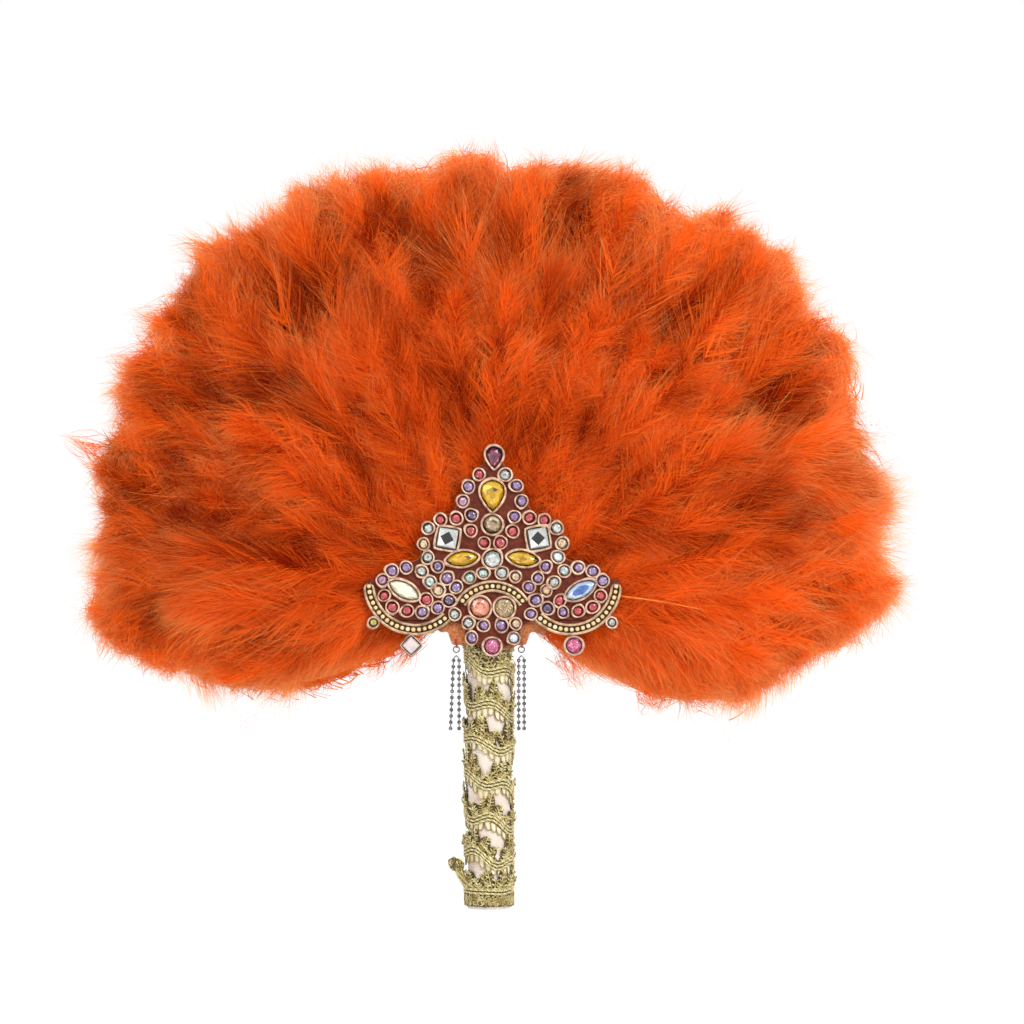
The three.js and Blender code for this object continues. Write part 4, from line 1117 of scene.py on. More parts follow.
def bezel(pile, loop, middle, rng, wall=1.5, wobble=0.12):
    """A bent metal rim round a stone, a little uneven, with the joint of its strip standing out."""
    t = turns(len(loop))
    swell = 1 + wobble * np.cos(2 * t + rng.uniform(0, TURN))
    swell = swell + wobble * 0.7 * np.cos(3 * t + rng.uniform(0, TURN))
    joint = np.cos(t - rng.uniform(0, TURN))
    seam = 0.7 * np.exp((joint - 1) * 10) * rng.choice([0, 1], p=[0.35, 0.65])
    out = (wall + rng.uniform(-0.15, 0.15)) * swell + seam
    lean = rng.normal(0, 0.035, 2)
    base = middle + loop + rng.normal(0, 0.12, 2)
    normal = outward(loop)
    steps = [(0.0, GIRDLE_DEPTH - 0.3), (0.12, GIRDLE_DEPTH + 0.2), (0.24, RIM_DEPTH - 0.6),
             (0.34, RIM_DEPTH - 0.18), (0.5, RIM_DEPTH), (0.72, RIM_DEPTH - 0.02), (0.88, RIM_DEPTH - 0.2),
             (0.98, RIM_DEPTH - 0.6), (1.0, RIM_DEPTH - 1.6), (1.0, PLATE_DEPTH)]
    rings = []
    for share, depth in steps:
        flat = base + normal * (out * share)[:, None]
        tilt = (flat - middle) @ lean * (depth > GIRDLE_DEPTH)
        rings.append(on_face(flat, depth + tilt))
    first = pile.add(np.stack(rings))
    quads = grid_quads(len(steps), len(loop), closed=True)
    inside = 2 * len(loop)
    shine = rng.uniform(0.45, 1.0)
    # Inside walls in dark bronze: painted shade of the recess round the stone.
    pile.more(first, quads[:inside], 2)
    pile.more(first, quads[inside:], 0, shine)


def anchors():
    """Rounds that the metalwork covers: (x, z, radius) under each stone and along the wings' rails."""
    rounds = []
    for x, y, _, _ in SEATS:
        rounds += [(*seat(x, y), SETTING_COVER), (*seat(-x, y), SETTING_COVER)]
    for _, form, _, x, y, length, width, turn in STONES:
        rounds += [(*(seat(x, y) + p), STONE_COVER) for p in stone_loop(form, length, width, turn, 40)]
    for _, x, y, radius, start, end, _, _ in RAILS[:2]:
        for angle in np.radians(np.linspace(min(start, end), max(start, end), 60)):
            place = seat(x, y) + radius * PITCH * np.array([math.cos(angle), math.sin(angle)])
            rounds.append((*place, RAIL_COVER))
    return np.array(rounds)


def shrunk(loop, rounds):
    """A loop drawn in until it only just goes round the given rounds."""
    for _ in range(3):
        away = np.linalg.norm(loop[:, None] - rounds[None, :, :2], axis=2) - rounds[None, :, 2]
        nearest = rounds[np.argmin(away, axis=1)]
        out = loop - nearest[:, :2]
        drawn = nearest[:, :2] + unit(out) * nearest[:, 2:]
        loop = np.where(away.min(axis=1)[:, None] > 0, drawn, loop)
        loop = softened(loop, 1)
    return loop


def make_applique():
    """Small stones with their bezels, the larger stones, and the plate under them."""
    rng = np.random.default_rng(41)
    metal = Pile()
    small = Pile()
    tints = []

    def slot_of(tint):
        if tint not in tints:
            tints.append(tint)
        return tints.index(tint)

    for x, y, left, right in SEATS:
        for sign, tint in ((-1, left), (1, right)):
            middle = seat(sign * x, y) + rng.normal(0, 0.22, 2)
            size = SMALL_STONE * rng.uniform(0.92, 1.06)
            turn = rng.uniform(0, 360)
            drop = rng.uniform(-0.25, 0.1)
            width = size * rng.uniform(0.88, 1.0)
            brilliant(small, stone_loop("round", size, width, turn, 16), middle, GIRDLE_DEPTH + drop,
                      SMALL_RISE, rng, slot_of(tint), rng.uniform(0.5, 0.66))
            bezel(metal, stone_loop("round", size - STONE_EASE, width - STONE_EASE, turn, 32), middle, rng)
    for node, form, tint, x, y, length, width, turn in STONES:
        middle = seat(x, y)
        own = small if node == "inset_stones" else Pile()
        slot = slot_of(tint) if node == "inset_stones" else 0
        fine = stone_loop(form, length - STONE_EASE, width - STONE_EASE, turn, 56)
        coarse = stone_loop(form, length, width, turn, 16)
        if form == "druzy":
            druzy(own, length, middle, GIRDLE_DEPTH, DRUZY_RISE, rng, slot)
        elif form == "square":
            centre_tone, twist = (0.0, 38) if tint == "clear" else (0.6, 0)
            step_cut(own, coarse, middle, GIRDLE_DEPTH, LARGE_RISE, slot, centre_tone, math.radians(twist))
        else:
            brilliant(own, coarse, middle, GIRDLE_DEPTH, LARGE_RISE, rng, slot, 0.6, tint)
        bezel(metal, fine, middle, rng, 0.7 if tint == "blush" else 1.75, 0.08)
        if own is not small:
            own.build(node + "_cut", GEMS[tint], slot=STONE_SLOTS[node], replaces=[node], smooth=False)
    small.build("set_stones", [GEMS[tint] for tint in tints], slot="violet_glass", replaces=["inset_stones"],
                smooth=False)

    plate = shrunk(node_outline("setting_frame", 1, 0.7), anchors())
    sheet(metal, plate, [(-0.8, PLATE_DEPTH), (0.0, PLATE_DEPTH), (0.15, PLATE_DEPTH + 0.5),
                         (-0.1, PLATE_DEPTH + 0.9), (-0.5, PLATE_DEPTH + 1.0)], 1)
    metal.build("settings", [rose_gold, leather, bronze_and_painted_shade], slot="rose_gold", replaces=["setting_frame"],
                crease=50)


def rail(name, middle, radius, start, end, tips):
    """A channel with two raised walls along an arc, narrower at its free tips."""
    depth = RIM_DEPTH - 0.1
    count = 56
    angles = np.radians(np.linspace(start, end, count))
    length = abs(angles[-1] - angles[0]) * radius
    at = np.linspace(0, length, count)
    nearest = np.minimum(at if tips[0] else length, length - at if tips[1] else length)
    narrow = 0.3 + 0.7 * np.sqrt(np.clip(nearest / 3.8 * (2 - np.clip(nearest / 3.8, 0, 1)), 0, 1))
    shut = 1 - smoothstep(0.9, 1.7, np.minimum(at, length - at))
    floor = depth - 1.5
    wall = [(1.0, depth - 2.1), (1.02, depth - 1.0), (0.97, depth - 0.25), (0.86, depth),
            (0.64, depth - 0.02), (0.53, depth - 0.3), (0.44, floor)]
    profile = [(-across, level) for across, level in wall] + [(0.0, floor - 0.1)] + wall[::-1]
    trough = range(5, 9)  # strips of the profile between the walls
    rng = np.random.default_rng(int(radius * 10) + count)
    ripple = 0.06 * np.sin(np.linspace(0, 19, count) + rng.uniform(0, TURN))
    pile = Pile()
    rings = []
    for across, level in profile:
        reach = radius + RAIL_HALF * across * narrow + ripple
        closing = (depth - 0.35 - level) * shut * (abs(across) < 0.95)
        raised = np.where(level < depth - 0.3, level + closing, level)
        rings.append(on_face(middle + circle(angles) * reach[:, None], raised))
    quads = grid_quads(len(profile), count).reshape(len(profile) - 1, -1, 4)
    first = pile.add(np.stack(rings))
    for row in range(len(profile) - 1):
        pile.more(first, quads[row], 1 if row in trough else 0)
    ends = np.arange(len(profile)) * count
    pile.more(first, [ends, ends[::-1] + count - 1])
    near = np.arange(count - 1)
    far = near + (len(profile) - 1) * count
    pile.more(first, np.stack([near, near + 1, far + 1, far], 1))
    pile.build(name + "_channel", [rail_gold, bronze_and_painted_shade], slot="rose_gold", replaces=[name], crease=60)


def bead_row(name, middle, radius, start, end, seed):
    """Small squarish beads in a row along a rail."""
    rng = np.random.default_rng(seed)
    depth = -middle_mm(name)[1]
    count = int(round(abs(math.radians(end - start)) * radius / BEAD_SPACING)) - 1
    margin = (end - start) * 0.5 / (count + 1)
    pile = Pile()
    sides = 12
    rise = np.radians([-80, -48, -16, 16, 48, 80])
    square = circle(turns(sides))
    square = square / np.maximum(np.abs(square[:, :1]), np.abs(square[:, 1:])) ** 0.45
    for angle in np.radians(np.linspace(start + margin, end - margin, count)):
        size = BEAD_SIZE * rng.uniform(0.9, 1.06)
        ring = turned(square, angle + rng.normal(0, 0.15))
        place = middle + radius * np.array([math.cos(angle), math.sin(angle)])
        rows = [on_face(place + ring * size * math.cos(r), depth + rng.normal(0, 0.01) + size * math.sin(r))
                for r in rise]
        quads = grid_quads(len(rise), sides, closed=True)
        first = pile.add(np.stack(rows), quads, tone=rng.uniform(0.3, 0.95))
        caps(pile, first, len(rise), sides, 0.6)
    pile.build(name + "_cut", bead_gilt, slot="bead_gold", replaces=[name], crease=50)


def make_rails():
    """The rails, and the rows of beads that lie in them."""
    for node, x, y, radius, start, end, tips, seed in RAILS:
        rail(f"rail_{node}", seat(x, y), radius * PITCH, start, end, tips)
        bead_row(f"bead_row_{node}", seat(x, y), radius * PITCH, start, end, seed)


def soft_sheet(pile, loop, back, front):
    """A soft-edged sheet between two depths."""
    thick = front - back
    sheet(pile, loop, [(-0.6, back), (-0.12, back + 0.1 * thick), (0.0, back + 0.5 * thick),
                       (-0.12, back + 0.9 * thick), (-0.6, front)])


def make_backing():
    """Felt under the metalwork, with two ears at its foot and the stitches that hold the chains' rings."""
    rng = np.random.default_rng(71)
    loop = node_outline("applique_backing", -1, 0.8)
    foot = loop[:, 1].min() + 14
    low = 1 - smoothstep(foot - 4, foot, loop[:, 1])[:, None]
    low = low * smoothstep(10, 14, np.abs(loop[:, :1]))
    loop = shrunk(loop, anchors()) * (1 - low) + softened(loop, 12) * low
    ring_side, _, ring_top = box_mm("chain_right_ring")[1]
    hem_places = [ring_side, ring_side + 1.6, 27, 34, 36]
    hem = np.interp(np.abs(loop[:, 0]), hem_places, [0, FELT_HEM, FELT_HEM - 0.5, FELT_HEM - 4, 0])
    loop[:, 1] = np.maximum(loop[:, 1], hem)
    loop = softened(loop, 3)
    loop = loop + outward(loop) * rng.normal(0, 0.08, (len(loop), 1))
    pile = Pile()
    soft_sheet(pile, loop, FACE_DEPTH, BACKING_FRONT)
    ring_x = middle_mm("chain_right_ring")[0]
    t = np.linspace(0, TURN, 25)
    for sign in (-1, 1):
        for aside in (-0.45, 0.0, 0.45):
            depth = (FACE_DEPTH + BACKING_FRONT) / 2 - 1.15 * np.cos(t)
            beside = sign * ring_x + aside + 0.3 * np.sin(t)
            path = on_face(np.stack([beside, ring_top + 1.4 - 2.6 * np.sin(t)], axis=1), depth)
            tubes(pile, path[None], 0.22, 5, slot=1, tone=rng.uniform(0.3, 0.9))
    pile.build("applique_felt", [felt, sewing_thread], slot="felt", replaces=["applique_backing"],
               crease=60)


def make_board():
    """Red board that the quills are glued to, cut off at the felt's hem."""
    low, high = box_mm("hub_board")
    loop = node_outline("hub_board", -1, 1.0)
    loop[:, 1] = np.maximum(loop[:, 1], FELT_HEM + 0.8)
    pile = Pile()
    soft_sheet(pile, loop, -high[1], -low[1])
    pile.build("quill_board", red_board, slot="board", replaces=["hub_board"], crease=60)


def make_back_cover():
    """Felt disc over the quills' roots, blanket stitched round its edge."""
    low, high = box_mm("back_cover")
    loop = softened(node_outline("back_cover", 1, 1.2), 2)
    middle = np.array([0.0, HUB_Z])
    rings = [(-1.5, -low[1]), (-0.2, -low[1] + 0.1), (0.0, -(low[1] + high[1]) / 2),
             (-0.4, -high[1] + 0.1)]
    pile = Pile()
    first = around(pile, loop, rings)
    count = len(loop)
    inner = []
    for share in (0.94, 0.86, 0.72, 0.55, 0.36, 0.18):
        rise = 0.5 * (1 - share ** 4)
        inner.append(on_face(middle + (loop - middle) * share, -high[1] - rise))
    inner.append(on_face(np.repeat(middle[None], count, axis=0), -high[1] - 0.5))
    more = pile.add(np.stack(inner), grid_quads(len(inner), count, closed=True)[:, ::-1])
    edge = 3 * count + np.arange(count)
    start = more - first + np.arange(count)
    pile.more(first, np.stack([edge, np.roll(edge, -1), np.roll(start, -1), start], 1))
    pile.more(first, filled(loop)[:, ::-1])
    marks = np.arange(0, count, 3)
    out = outward(loop)[marks]
    steps = np.array([(-4.2, 0.55), (-3.2, 0.75), (-1.2, 0.6), (0.15, 0.1), (0.3, -0.8)])
    paths = np.stack([on_face(loop[marks] + out * o, -high[1] - h) for o, h in steps], axis=1)
    tubes(pile, paths, 0.28, 5, slot=1, tone=np.random.default_rng(72).uniform(0.3, 0.9, len(marks)))
    pile.build("cover_felt", [cover_felt, sewing_thread], slot="felt", replaces=["back_cover"], crease=50)


# Handle

SATIN_OUTER = box_mm("handle_satin")[1][0]
BRAID_INNER = SATIN_OUTER + 0.3
WIND_TOP = 141.7  # height of the winding's middle line at its start
WIND_PITCH = 21.5
WIND_TURNS = 5.67
SATIN_LAP = 14.0  # pitch of the satin ribbon's turns
GIRTH = TURN * (BRAID_INNER + 1.0)  # length of one turn round the handle
WAVES = 3.35  # of the braid in one turn
WAVE_RISE = 2.3
STROKE_RADII = np.array([0.26, 0.46, 0.5, 0.42, 0.16])  # along one stitch of a leaf spray
LEAF_TIP_RADII = np.array([0.3, 0.5, 0.52, 0.4, 0.12])


def round_handle(radius, angle, height):
    """Points round the handle's middle line."""
    return np.stack(np.broadcast_arrays(radius * np.cos(angle), radius * np.sin(angle), height), axis=-1)


def make_satin():
    """Satin ribbon wound on the handle: each turn laps over the one below, with slack folds."""
    low, high = box_mm("handle_satin")
    rows, columns = 240, 96
    height = np.linspace(low[2], high[2], rows)[:, None]
    turn = turns(columns)[None, :]
    lap = (height / SATIN_LAP + turn / TURN) % 1.0
    radius = SATIN_OUTER - 0.55 + 0.32 * lap + 0.12 * np.exp(-((lap - 0.94) / 0.03) ** 2)
    radius = radius + 0.1 * np.sin(turn * 3 + height * 0.21) * np.sin(height * 0.34 + turn)
    pile = Pile()
    first = pile.add(round_handle(radius, turn, height), grid_quads(rows, columns, closed=True))
    caps(pile, first, rows, columns)
    pile.build("satin_wrap", white_satin, slot="satin", replaces=["handle_satin"], crease=60)


def make_end_cap():
    """Rounded satin button on the end, gathered to its middle."""
    low, high = box_mm("handle_end_cap")
    outer = high[0]
    columns = 96
    turn = turns(columns)
    profile = [(0.3, 0.25), (0.25 * outer, 0.1), (0.6 * outer, 0.02), (0.86 * outer, 0.0),
               (0.95 * outer, 0.15), (0.99 * outer, 0.6), (outer, 1.2), (0.99 * outer, 2.0),
               (0.95 * outer, 2.6), (0.8 * outer, high[2])]
    rings = []
    for radius, height in profile:
        pleat = 1 + 0.006 * np.sin(24 * turn) * (radius < 0.9 * outer)
        rings.append(round_handle(radius * pleat, turn, low[2] + height))
    pile = Pile()
    first = pile.add(np.stack(rings), grid_quads(len(profile), columns, closed=True))
    caps(pile, first, len(profile), columns)
    pile.build("end_button", white_satin, slot="satin", replaces=["handle_end_cap"], crease=50)


def wound(turn, across, out):
    """A point of the winding: turns from its start, height over its middle line and distance out."""
    height = WIND_TOP - WIND_PITCH * turn + WAVE_RISE * np.sin(TURN * WAVES * turn)
    return round_handle(BRAID_INNER + out, math.pi + TURN * turn, height + across)


def ringed(height):
    """Like wound, for a strip that goes once round at one height."""
    def place(turn, across, out):
        return round_handle(BRAID_INNER + out, math.pi + TURN * turn, height + across)
    return place


def cords(pile, place, start, end, lines, rng):
    """Two-ply twisted cords side by side along a strip."""
    count = int((end - start) * GIRTH / 0.36)
    turn = np.linspace(start, end, count)
    run = turn * GIRTH
    paths, tones = [], []
    sway = 0.5 * np.sin(run / 5.3) + 0.3 * np.sin(run / 3.1 + 1)
    for across in lines:
        phase = rng.uniform(0, TURN)
        for ply in (0, math.pi):
            twist = TURN * run / 3.6 + phase + ply
            paths.append(place(turn, across + sway + 0.36 * np.cos(twist), 1.1 + 0.36 * np.sin(twist)))
            tones.append(1.0 if ply else 0.66)
    tubes(pile, np.stack(paths), 0.44, 6, tone=np.array(tones))


def loops(pile, place, start, end, top, drop, rng):
    """Hanging loops of thread along a strip's lower edge."""
    count = int((end - start) * GIRTH / 3.6)
    at = np.linspace(start, end, count) + rng.normal(0, 0.2, count) / GIRTH
    stations = 13
    t = np.linspace(0, math.pi, stations)
    fall = drop * rng.uniform(0.8, 1.2, count)
    skew = rng.normal(0.1, 0.35, count)
    share = np.abs(np.sin(t)) ** 0.45
    aside = (-np.cos(t)[None, :] * 1.6 + skew[:, None] * share) / GIRTH
    down = top - fall[:, None] * share
    path = place(at[:, None] + aside, down, 0.62 + 0 * down)
    tubes(pile, path, 0.27, 5, tone=np.clip(rng.normal(0.5, 0.14, count), 0, 1))
    first = pile.add(place(at[:, None] + aside, down, 0.3 + 0 * down))
    pile.more(first, np.arange(count)[:, None] * stations + np.arange(stations), 2, 0.5)


def sprays(pile, place, middles, size, flare, rng, lean=0.0):
    """Leaf sprays: a stem with slanting strokes on a ground dark with painted shade, standing off towards
    their tips.
    """
    count = len(middles)
    reach = size * rng.uniform(0.65, 1.3, count)
    slant = lean + rng.uniform(-3.0, 3.5, count)
    stations = 7
    s = np.linspace(0, 1, stations)

    def spot(share, beside, out):
        """Along the stem, mm beside it and mm out."""
        aside = slant[:, None] * share + beside
        across = 1.9 + reach[:, None] * share
        return place(middles[:, None] + aside / GIRTH, across, out + flare * share ** 2)

    share = np.broadcast_to(s, (count, stations))
    swell = 3.1 * np.sin(np.pi * np.clip(s * 0.86 + 0.1, 0, 1)) ** 0.7
    flat = 0.3 - flare * share ** 2
    first = pile.add(np.stack([spot(share, side * swell, flat) for side in (-1, 0, 1)], axis=2))
    block = grid_quads(stations, 3)
    quads = (np.arange(count)[:, None, None] * 3 * stations + block).reshape(-1, 4)
    pile.more(first, quads, 1, np.repeat(rng.uniform(0.3, 0.9, count), len(block)))
    stem = spot(share, 0 * share, 0.75)
    tubes(pile, stem, np.linspace(0.45, 0.3, stations), 5, tone=rng.uniform(0.55, 0.9, count))
    k = np.linspace(0, 1, len(STROKE_RADII))
    pairs = int(max(3, size / 1.55))
    for at in np.linspace(-0.05, 0.82, pairs):
        for side in (-1, 1):
            long = rng.uniform(1.5, 2.7, (count, 1)) * (1.1 - 0.4 * at)
            rise = rng.uniform(0.9, 2.0, (count, 1)) / reach[:, None]
            lifted = 0.6 + 0.6 * np.sin(np.pi * k[None])
            up = at + rng.normal(0, 0.02, (count, 1)) + rise * k[None]
            path = spot(up, side * (0.2 + long * k[None]), lifted)
            tubes(pile, path, STROKE_RADII, 5, tone=rng.uniform(0.3, 1.0, count))
    tip = spot(0.86 + 0.2 * k[None] + 0 * middles[:, None], 0 * k[None], 0.7)
    tubes(pile, tip, LEAF_TIP_RADII, 5, tone=rng.uniform(0.6, 1.0, count))


def zigzag(pile, place, start, end, low, high, rng):
    """Thread worked up and down along a strip in close, uneven strokes."""
    strokes = int((end - start) * GIRTH / 1.25)
    order = np.arange(strokes)
    turn = np.linspace(start, end, strokes) + rng.normal(0, 0.6, strokes) / GIRTH
    top = low + (high - low) * rng.uniform(0.45, 1.15, strokes)
    across = np.where(order % 2, top, low + rng.uniform(-0.5, 0.8, strokes))
    lift = rng.uniform(0.5, 1.5, strokes)
    run = 12
    at = (np.arange(strokes * 3 // run - 1)[:, None] * run + np.arange(run + 1)) / 3
    path = place(np.interp(at, order, turn), np.interp(at, order, across), np.interp(at, order, lift))
    tubes(pile, path, 0.36, 5, tone=rng.uniform(0.25, 1.0, len(at)))


def lace(pile, place, low, high, count, rng):
    """Small open loops of thread laid over each other round the handle."""
    t = np.linspace(0, 5.2, 11) + rng.uniform(0, TURN, (count, 1))
    size = rng.uniform(0.7, 1.6, (count, 1))
    across = rng.uniform(low, high, (count, 1)) + size * np.sin(t)
    turn = rng.uniform(0, 1, (count, 1)) + 1.3 * size * np.cos(t) / GIRTH
    tubes(pile, place(turn, across, rng.uniform(0.5, 1.3, (count, 1)) + 0 * t), 0.33, 5,
          tone=rng.uniform(0.0, 0.9, count))


def tape(pile, place, start, end, low, high):
    """Woven ground under the cords of a strip, dark as painted shade in the grooves between them."""
    count = int((end - start) * 60)
    turn = np.linspace(start, end, count)
    rows = [place(turn, across, out) for across, out in
            ((low, 0.1), (low, 0.45), (high, 0.45), (high, 0.1))]
    pile.add(np.stack(rows), grid_quads(4, count), slot=1, tone=0.35)


def curled_end(pile, middle, root, rng):
    """The braid's free end: strands that leave the handle and curl up to a ball of loops."""
    u = np.linspace(0, 1, 9)
    for _ in range(16):
        start, stop = root + rng.normal(0, 1.1, 3), middle + rng.normal(0, 1.1, 3)
        bow = rng.normal(0, 0.7, 3) + np.array([-1.5, -1.0, 0.0])
        path = start + (stop - start) * u[:, None] + bow * np.sin(np.pi * u)[:, None]
        tubes(pile, path[None], 0.5, 6, tone=rng.uniform(0.3, 1.0))
    t = np.linspace(0, 5.0, 15)
    for _ in range(44):
        first = unit(rng.normal(0, 1, 3))
        second = unit(np.cross(first, rng.normal(0, 1, 3)))
        ring = rng.uniform(1.3, 3.7) * (np.cos(t)[:, None] * first + np.sin(t)[:, None] * second)
        path = middle + rng.normal(0, 0.8, 3) + ring * np.array([1.0, 0.7, 1.0])
        tubes(pile, path[None], 0.46, 5, tone=rng.uniform(0.0, 1.0))


def make_braid():
    """Gilt braid down the handle, with higher sprays on its crests, a collar and a curled free end."""
    rng = np.random.default_rng(81)
    pile = Pile()
    end = WIND_TURNS
    tape(pile, wound, 0.0, end, -2.6, 2.6)
    cords(pile, wound, 0.0, end, (-1.9, 0.0, 1.9), rng)
    loops(pile, wound, 0.01, end - 0.01, -2.2, 4.8, rng)
    sprays(pile, wound, np.arange(0.03, end, 0.075), 4.2, 1.2, rng)
    crests = np.arange(0.25, WAVES * end, 1.0) / WAVES
    for aside, size in ((-7.6, 8.2), (-3.9, 10.4), (0.0, 11.8), (3.9, 10.4), (7.6, 8.2)):
        middles = crests + (aside + rng.normal(0, 0.6, len(crests))) / GIRTH
        sprays(pile, wound, middles, size, 1.2, rng, 0.45 * aside)
    collar = ringed(WIND_TOP + 3.4)
    sprays(pile, collar, np.arange(0, 1, 0.1), 5.0, 1.5, rng)
    sprays(pile, collar, np.arange(0.05, 1, 0.1), 3.6, 1.0, rng)
    sprays(pile, collar, np.arange(0.53, 0.98, 0.05), 8.8, 0.6, rng)
    cords(pile, collar, 0.0, 1.0, (1.2,), rng)
    curled_end(pile, np.array([-18.2, -7.0, 25.4]), np.array([-11.6, -8.0, 13.0]), rng)
    pile.build("gilt_braid", [gilt_thread, gilt_ground_and_shade, scallop], slot="gimp", replaces=["braid_winding"],
               crease=60)


def make_foot_band():
    """Band that closes the handle's foot, with sprays where the winding leaves room above it."""
    rng = np.random.default_rng(82)
    low, high = box_mm("braid_foot_band")
    place = ringed(high[2] - 2.6)
    pile = Pile()
    tape(pile, place, 0.0, 1.0, low[2] - high[2] + 2.7, 2.4)
    cords(pile, place, 0.0, 1.0, (-0.2, 1.7), rng)
    zigzag(pile, place, 0.0, 1.0, -7.4, -1.2, rng)
    lace(pile, place, -6.6, -1.6, 330, rng)
    around_foot = np.arange(0, 1, 0.045)
    last_turn = WIND_TURNS - 1 + (around_foot - WIND_TURNS % 1) % 1
    room = WIND_TOP - WIND_PITCH * last_turn - 7.5 - high[2]
    free = around_foot[room > 3]
    sprays(pile, place, free, 8.6, 1.8, rng)
    sprays(pile, place, free + 0.02, 5.0, 1.2, rng)
    pile.build("foot_lace", [gilt_thread, gilt_ground_and_shade, scallop], slot="gimp", replaces=["braid_foot_band"],
               crease=60)


# Hanging chains

CHAIN_DEPTH = -middle_mm("chain_left_ring")[1]
CUP_PITCH = 3.5
CUP_LENGTH = 2.4
CUP_REACH = 1.1  # from a cup's middle to its side
CUPS = 6  # of each strand above the bend, and again below it
INNER_X = 16.9  # of the inner strand
OUTER_X = 20.0  # of the outer strand at its top
RING_RADIUS = 1.7
RING_WIRE = 0.36  # radius of the wire of rings and yokes


def cup(pile, x, z, rng):
    """A cast cup with a cut crystal, facing the viewer."""
    sides = 10
    ring = circle(turns(sides) + rng.uniform(0, 1))
    middle = np.array([x, z])

    def revolved(profile):
        """Rings of a profile of (radius, depth) about the cup's middle."""
        return np.stack([on_face(middle + ring * r, CHAIN_DEPTH + d) for r, d in profile])

    wall = [(0.55, -0.85), (0.9, -0.7), (1.12, -0.1), (1.14, 0.45), (1.02, 0.6), (0.9, 0.5)]
    first = pile.add(revolved(wall), grid_quads(len(wall), sides, closed=True))
    pile.more(first, [np.arange(sides)[::-1]])
    gem = [(0.92, 0.48), (0.72, 0.72), (0.42, 0.8)]
    quads = grid_quads(len(gem), sides, closed=True)
    first = pile.add(revolved(gem))
    pile.more(first, quads, 1, rng.uniform(0, 1, len(quads)))
    pile.more(first, [np.arange(sides) + (len(gem) - 1) * sides], 1, rng.uniform(0.1, 0.9))


def make_chain(side):
    """A chain loop on one side: its ring, and the two strands above and below the bend."""
    rng = np.random.default_rng(91 if side == "left" else 92)
    sign = -1 if side == "left" else 1
    ring_x, _, ring_z = middle_mm(f"chain_{side}_ring")
    pile = Pile()
    ring = np.array([ring_x, ring_z]) + RING_RADIUS * circle(np.linspace(0, TURN, 33))
    tubes(pile, on_face(ring, CHAIN_DEPTH)[None], RING_WIRE, 8)
    pile.build(f"chain_{side}_jump_ring", [chain_metal], body=f"{side}_ring", slot="chain_metal",
               replaces=[f"chain_{side}_ring"])

    upper_low, upper_high = box_mm(f"chain_{side}_upper")
    lower_low, lower_high = box_mm(f"chain_{side}_lower")
    first_top = upper_low[2] + CUP_PITCH * CUPS - (CUP_PITCH - CUP_LENGTH)
    last_top = lower_low[2] + CUP_LENGTH
    foot_x = max(abs(lower_low[0]), abs(lower_high[0])) - CUP_REACH
    length = 2 * CUPS * CUP_PITCH

    def strands(z):
        """Places across of the inner and the outer strand at a height."""
        return sign * INNER_X, sign * (OUTER_X + (foot_x - OUTER_X) * (first_top - z) / length)

    def link(pile, start, end, radius):
        """A wire between two places of the front plane."""
        tubes(pile, on_face(np.linspace(start, end, 3), CHAIN_DEPTH)[None], radius, 5)

    for part, tops in (("upper", first_top - CUP_PITCH * np.arange(CUPS)),
                       ("lower", last_top + CUP_PITCH * np.arange(CUPS)[::-1])):
        pile = Pile()
        for strand in (0, 1):
            for k, top in enumerate(tops):
                z = top - CUP_LENGTH / 2
                cup(pile, strands(z)[strand], z, rng)
                if k < CUPS - 1:
                    below = z - CUP_PITCH
                    link(pile, [strands(z)[strand], z - 1.0], [strands(below)[strand], below + 1.0], 0.32)
            if part == "lower":
                x = strands(tops[0])[strand]
                link(pile, [x, tops[0] - 0.3], [x, lower_high[2]], 0.3)
        if part == "upper":
            inner, outer = strands(first_top)
            peak = upper_high[2] - 0.4
            arms = [[[x, first_top - 0.4], [x * 0.75 + ring_x * 0.25, first_top + 0.5],
                     [x * 0.2 + ring_x * 0.8, peak - 0.35]] for x in (inner, outer)]
            yoke = np.array([*arms[0], [ring_x, peak], *arms[1][::-1]])
            tubes(pile, on_face(yoke, CHAIN_DEPTH)[None], RING_WIRE, 6)
        pile.build(f"chain_{side}_{part}_cups", [chain_metal, chain_glass], body=f"{side}_{part}",
                   slot="chain_metal", replaces=[f"chain_{side}_{part}"], crease=35)


# Making the pieces

# Tips of the wisps that stand out of the fan's edge, (x, z)
TUFTS = [(-219, 315), (-243, 269), (-206, 340), (-105, 416), (1, 434), (86, 425), (152, 394), (187, 350),
         (226, 268), (233, 176), (-226, 205), (-150, 395), (205, 310)]
# Tips of the wisps that hang from its lower edges
HANGING = [(-222, 140), (-185, 131), (-168, 132), (-133, 119), (-119, 126), (-72, 131), (-67, 130),
           (-57, 133), (-50, 139), (114, 111), (57, 125), (150, 116), (185, 135)]

for i in range(LONG_FRONT):
    lean = lean_of(i, LONG_FRONT, FAN_SPREAD)
    plume(f"plume_front_{i + 1:02d}", lean, 1, outer_down, "feather", 100 + i, front_room(lean), reach_at,
          feathers=9, barb_length=52.0, half=10.6, guides=120, barbs=1850, down=900, lift=0.04, fans=4,
          curling=900, fuzz=3600 if abs(lean) > LOW_PLUMES else 2000)
for i in range(LONG_BACK):
    lean = lean_of(i, LONG_BACK, FAN_SPREAD)
    plume(f"plume_back_{i + 1:02d}", lean, -1, outer_down, "feather", 200 + i, back_room(lean), reach_at,
          feathers=9, barb_length=56.0, half=13.25, guides=100, barbs=1400, wide=1.7, down=900, lift=-0.02,
          cover=2200, fuzz=1200)
for i in range(SHORT_INNER):
    lean = lean_of(i, SHORT_INNER, SHORT_SPREAD)
    plume(f"plume_short_{i + 1:02d}", lean, 1, inner_down, "feather_inner", 300 + i, short_room(lean),
          short_reach, feathers=7, barb_length=44.0, half=15.0, guides=110, barbs=1950, down=500, lift=0.04,
          fans=3, curling=800)
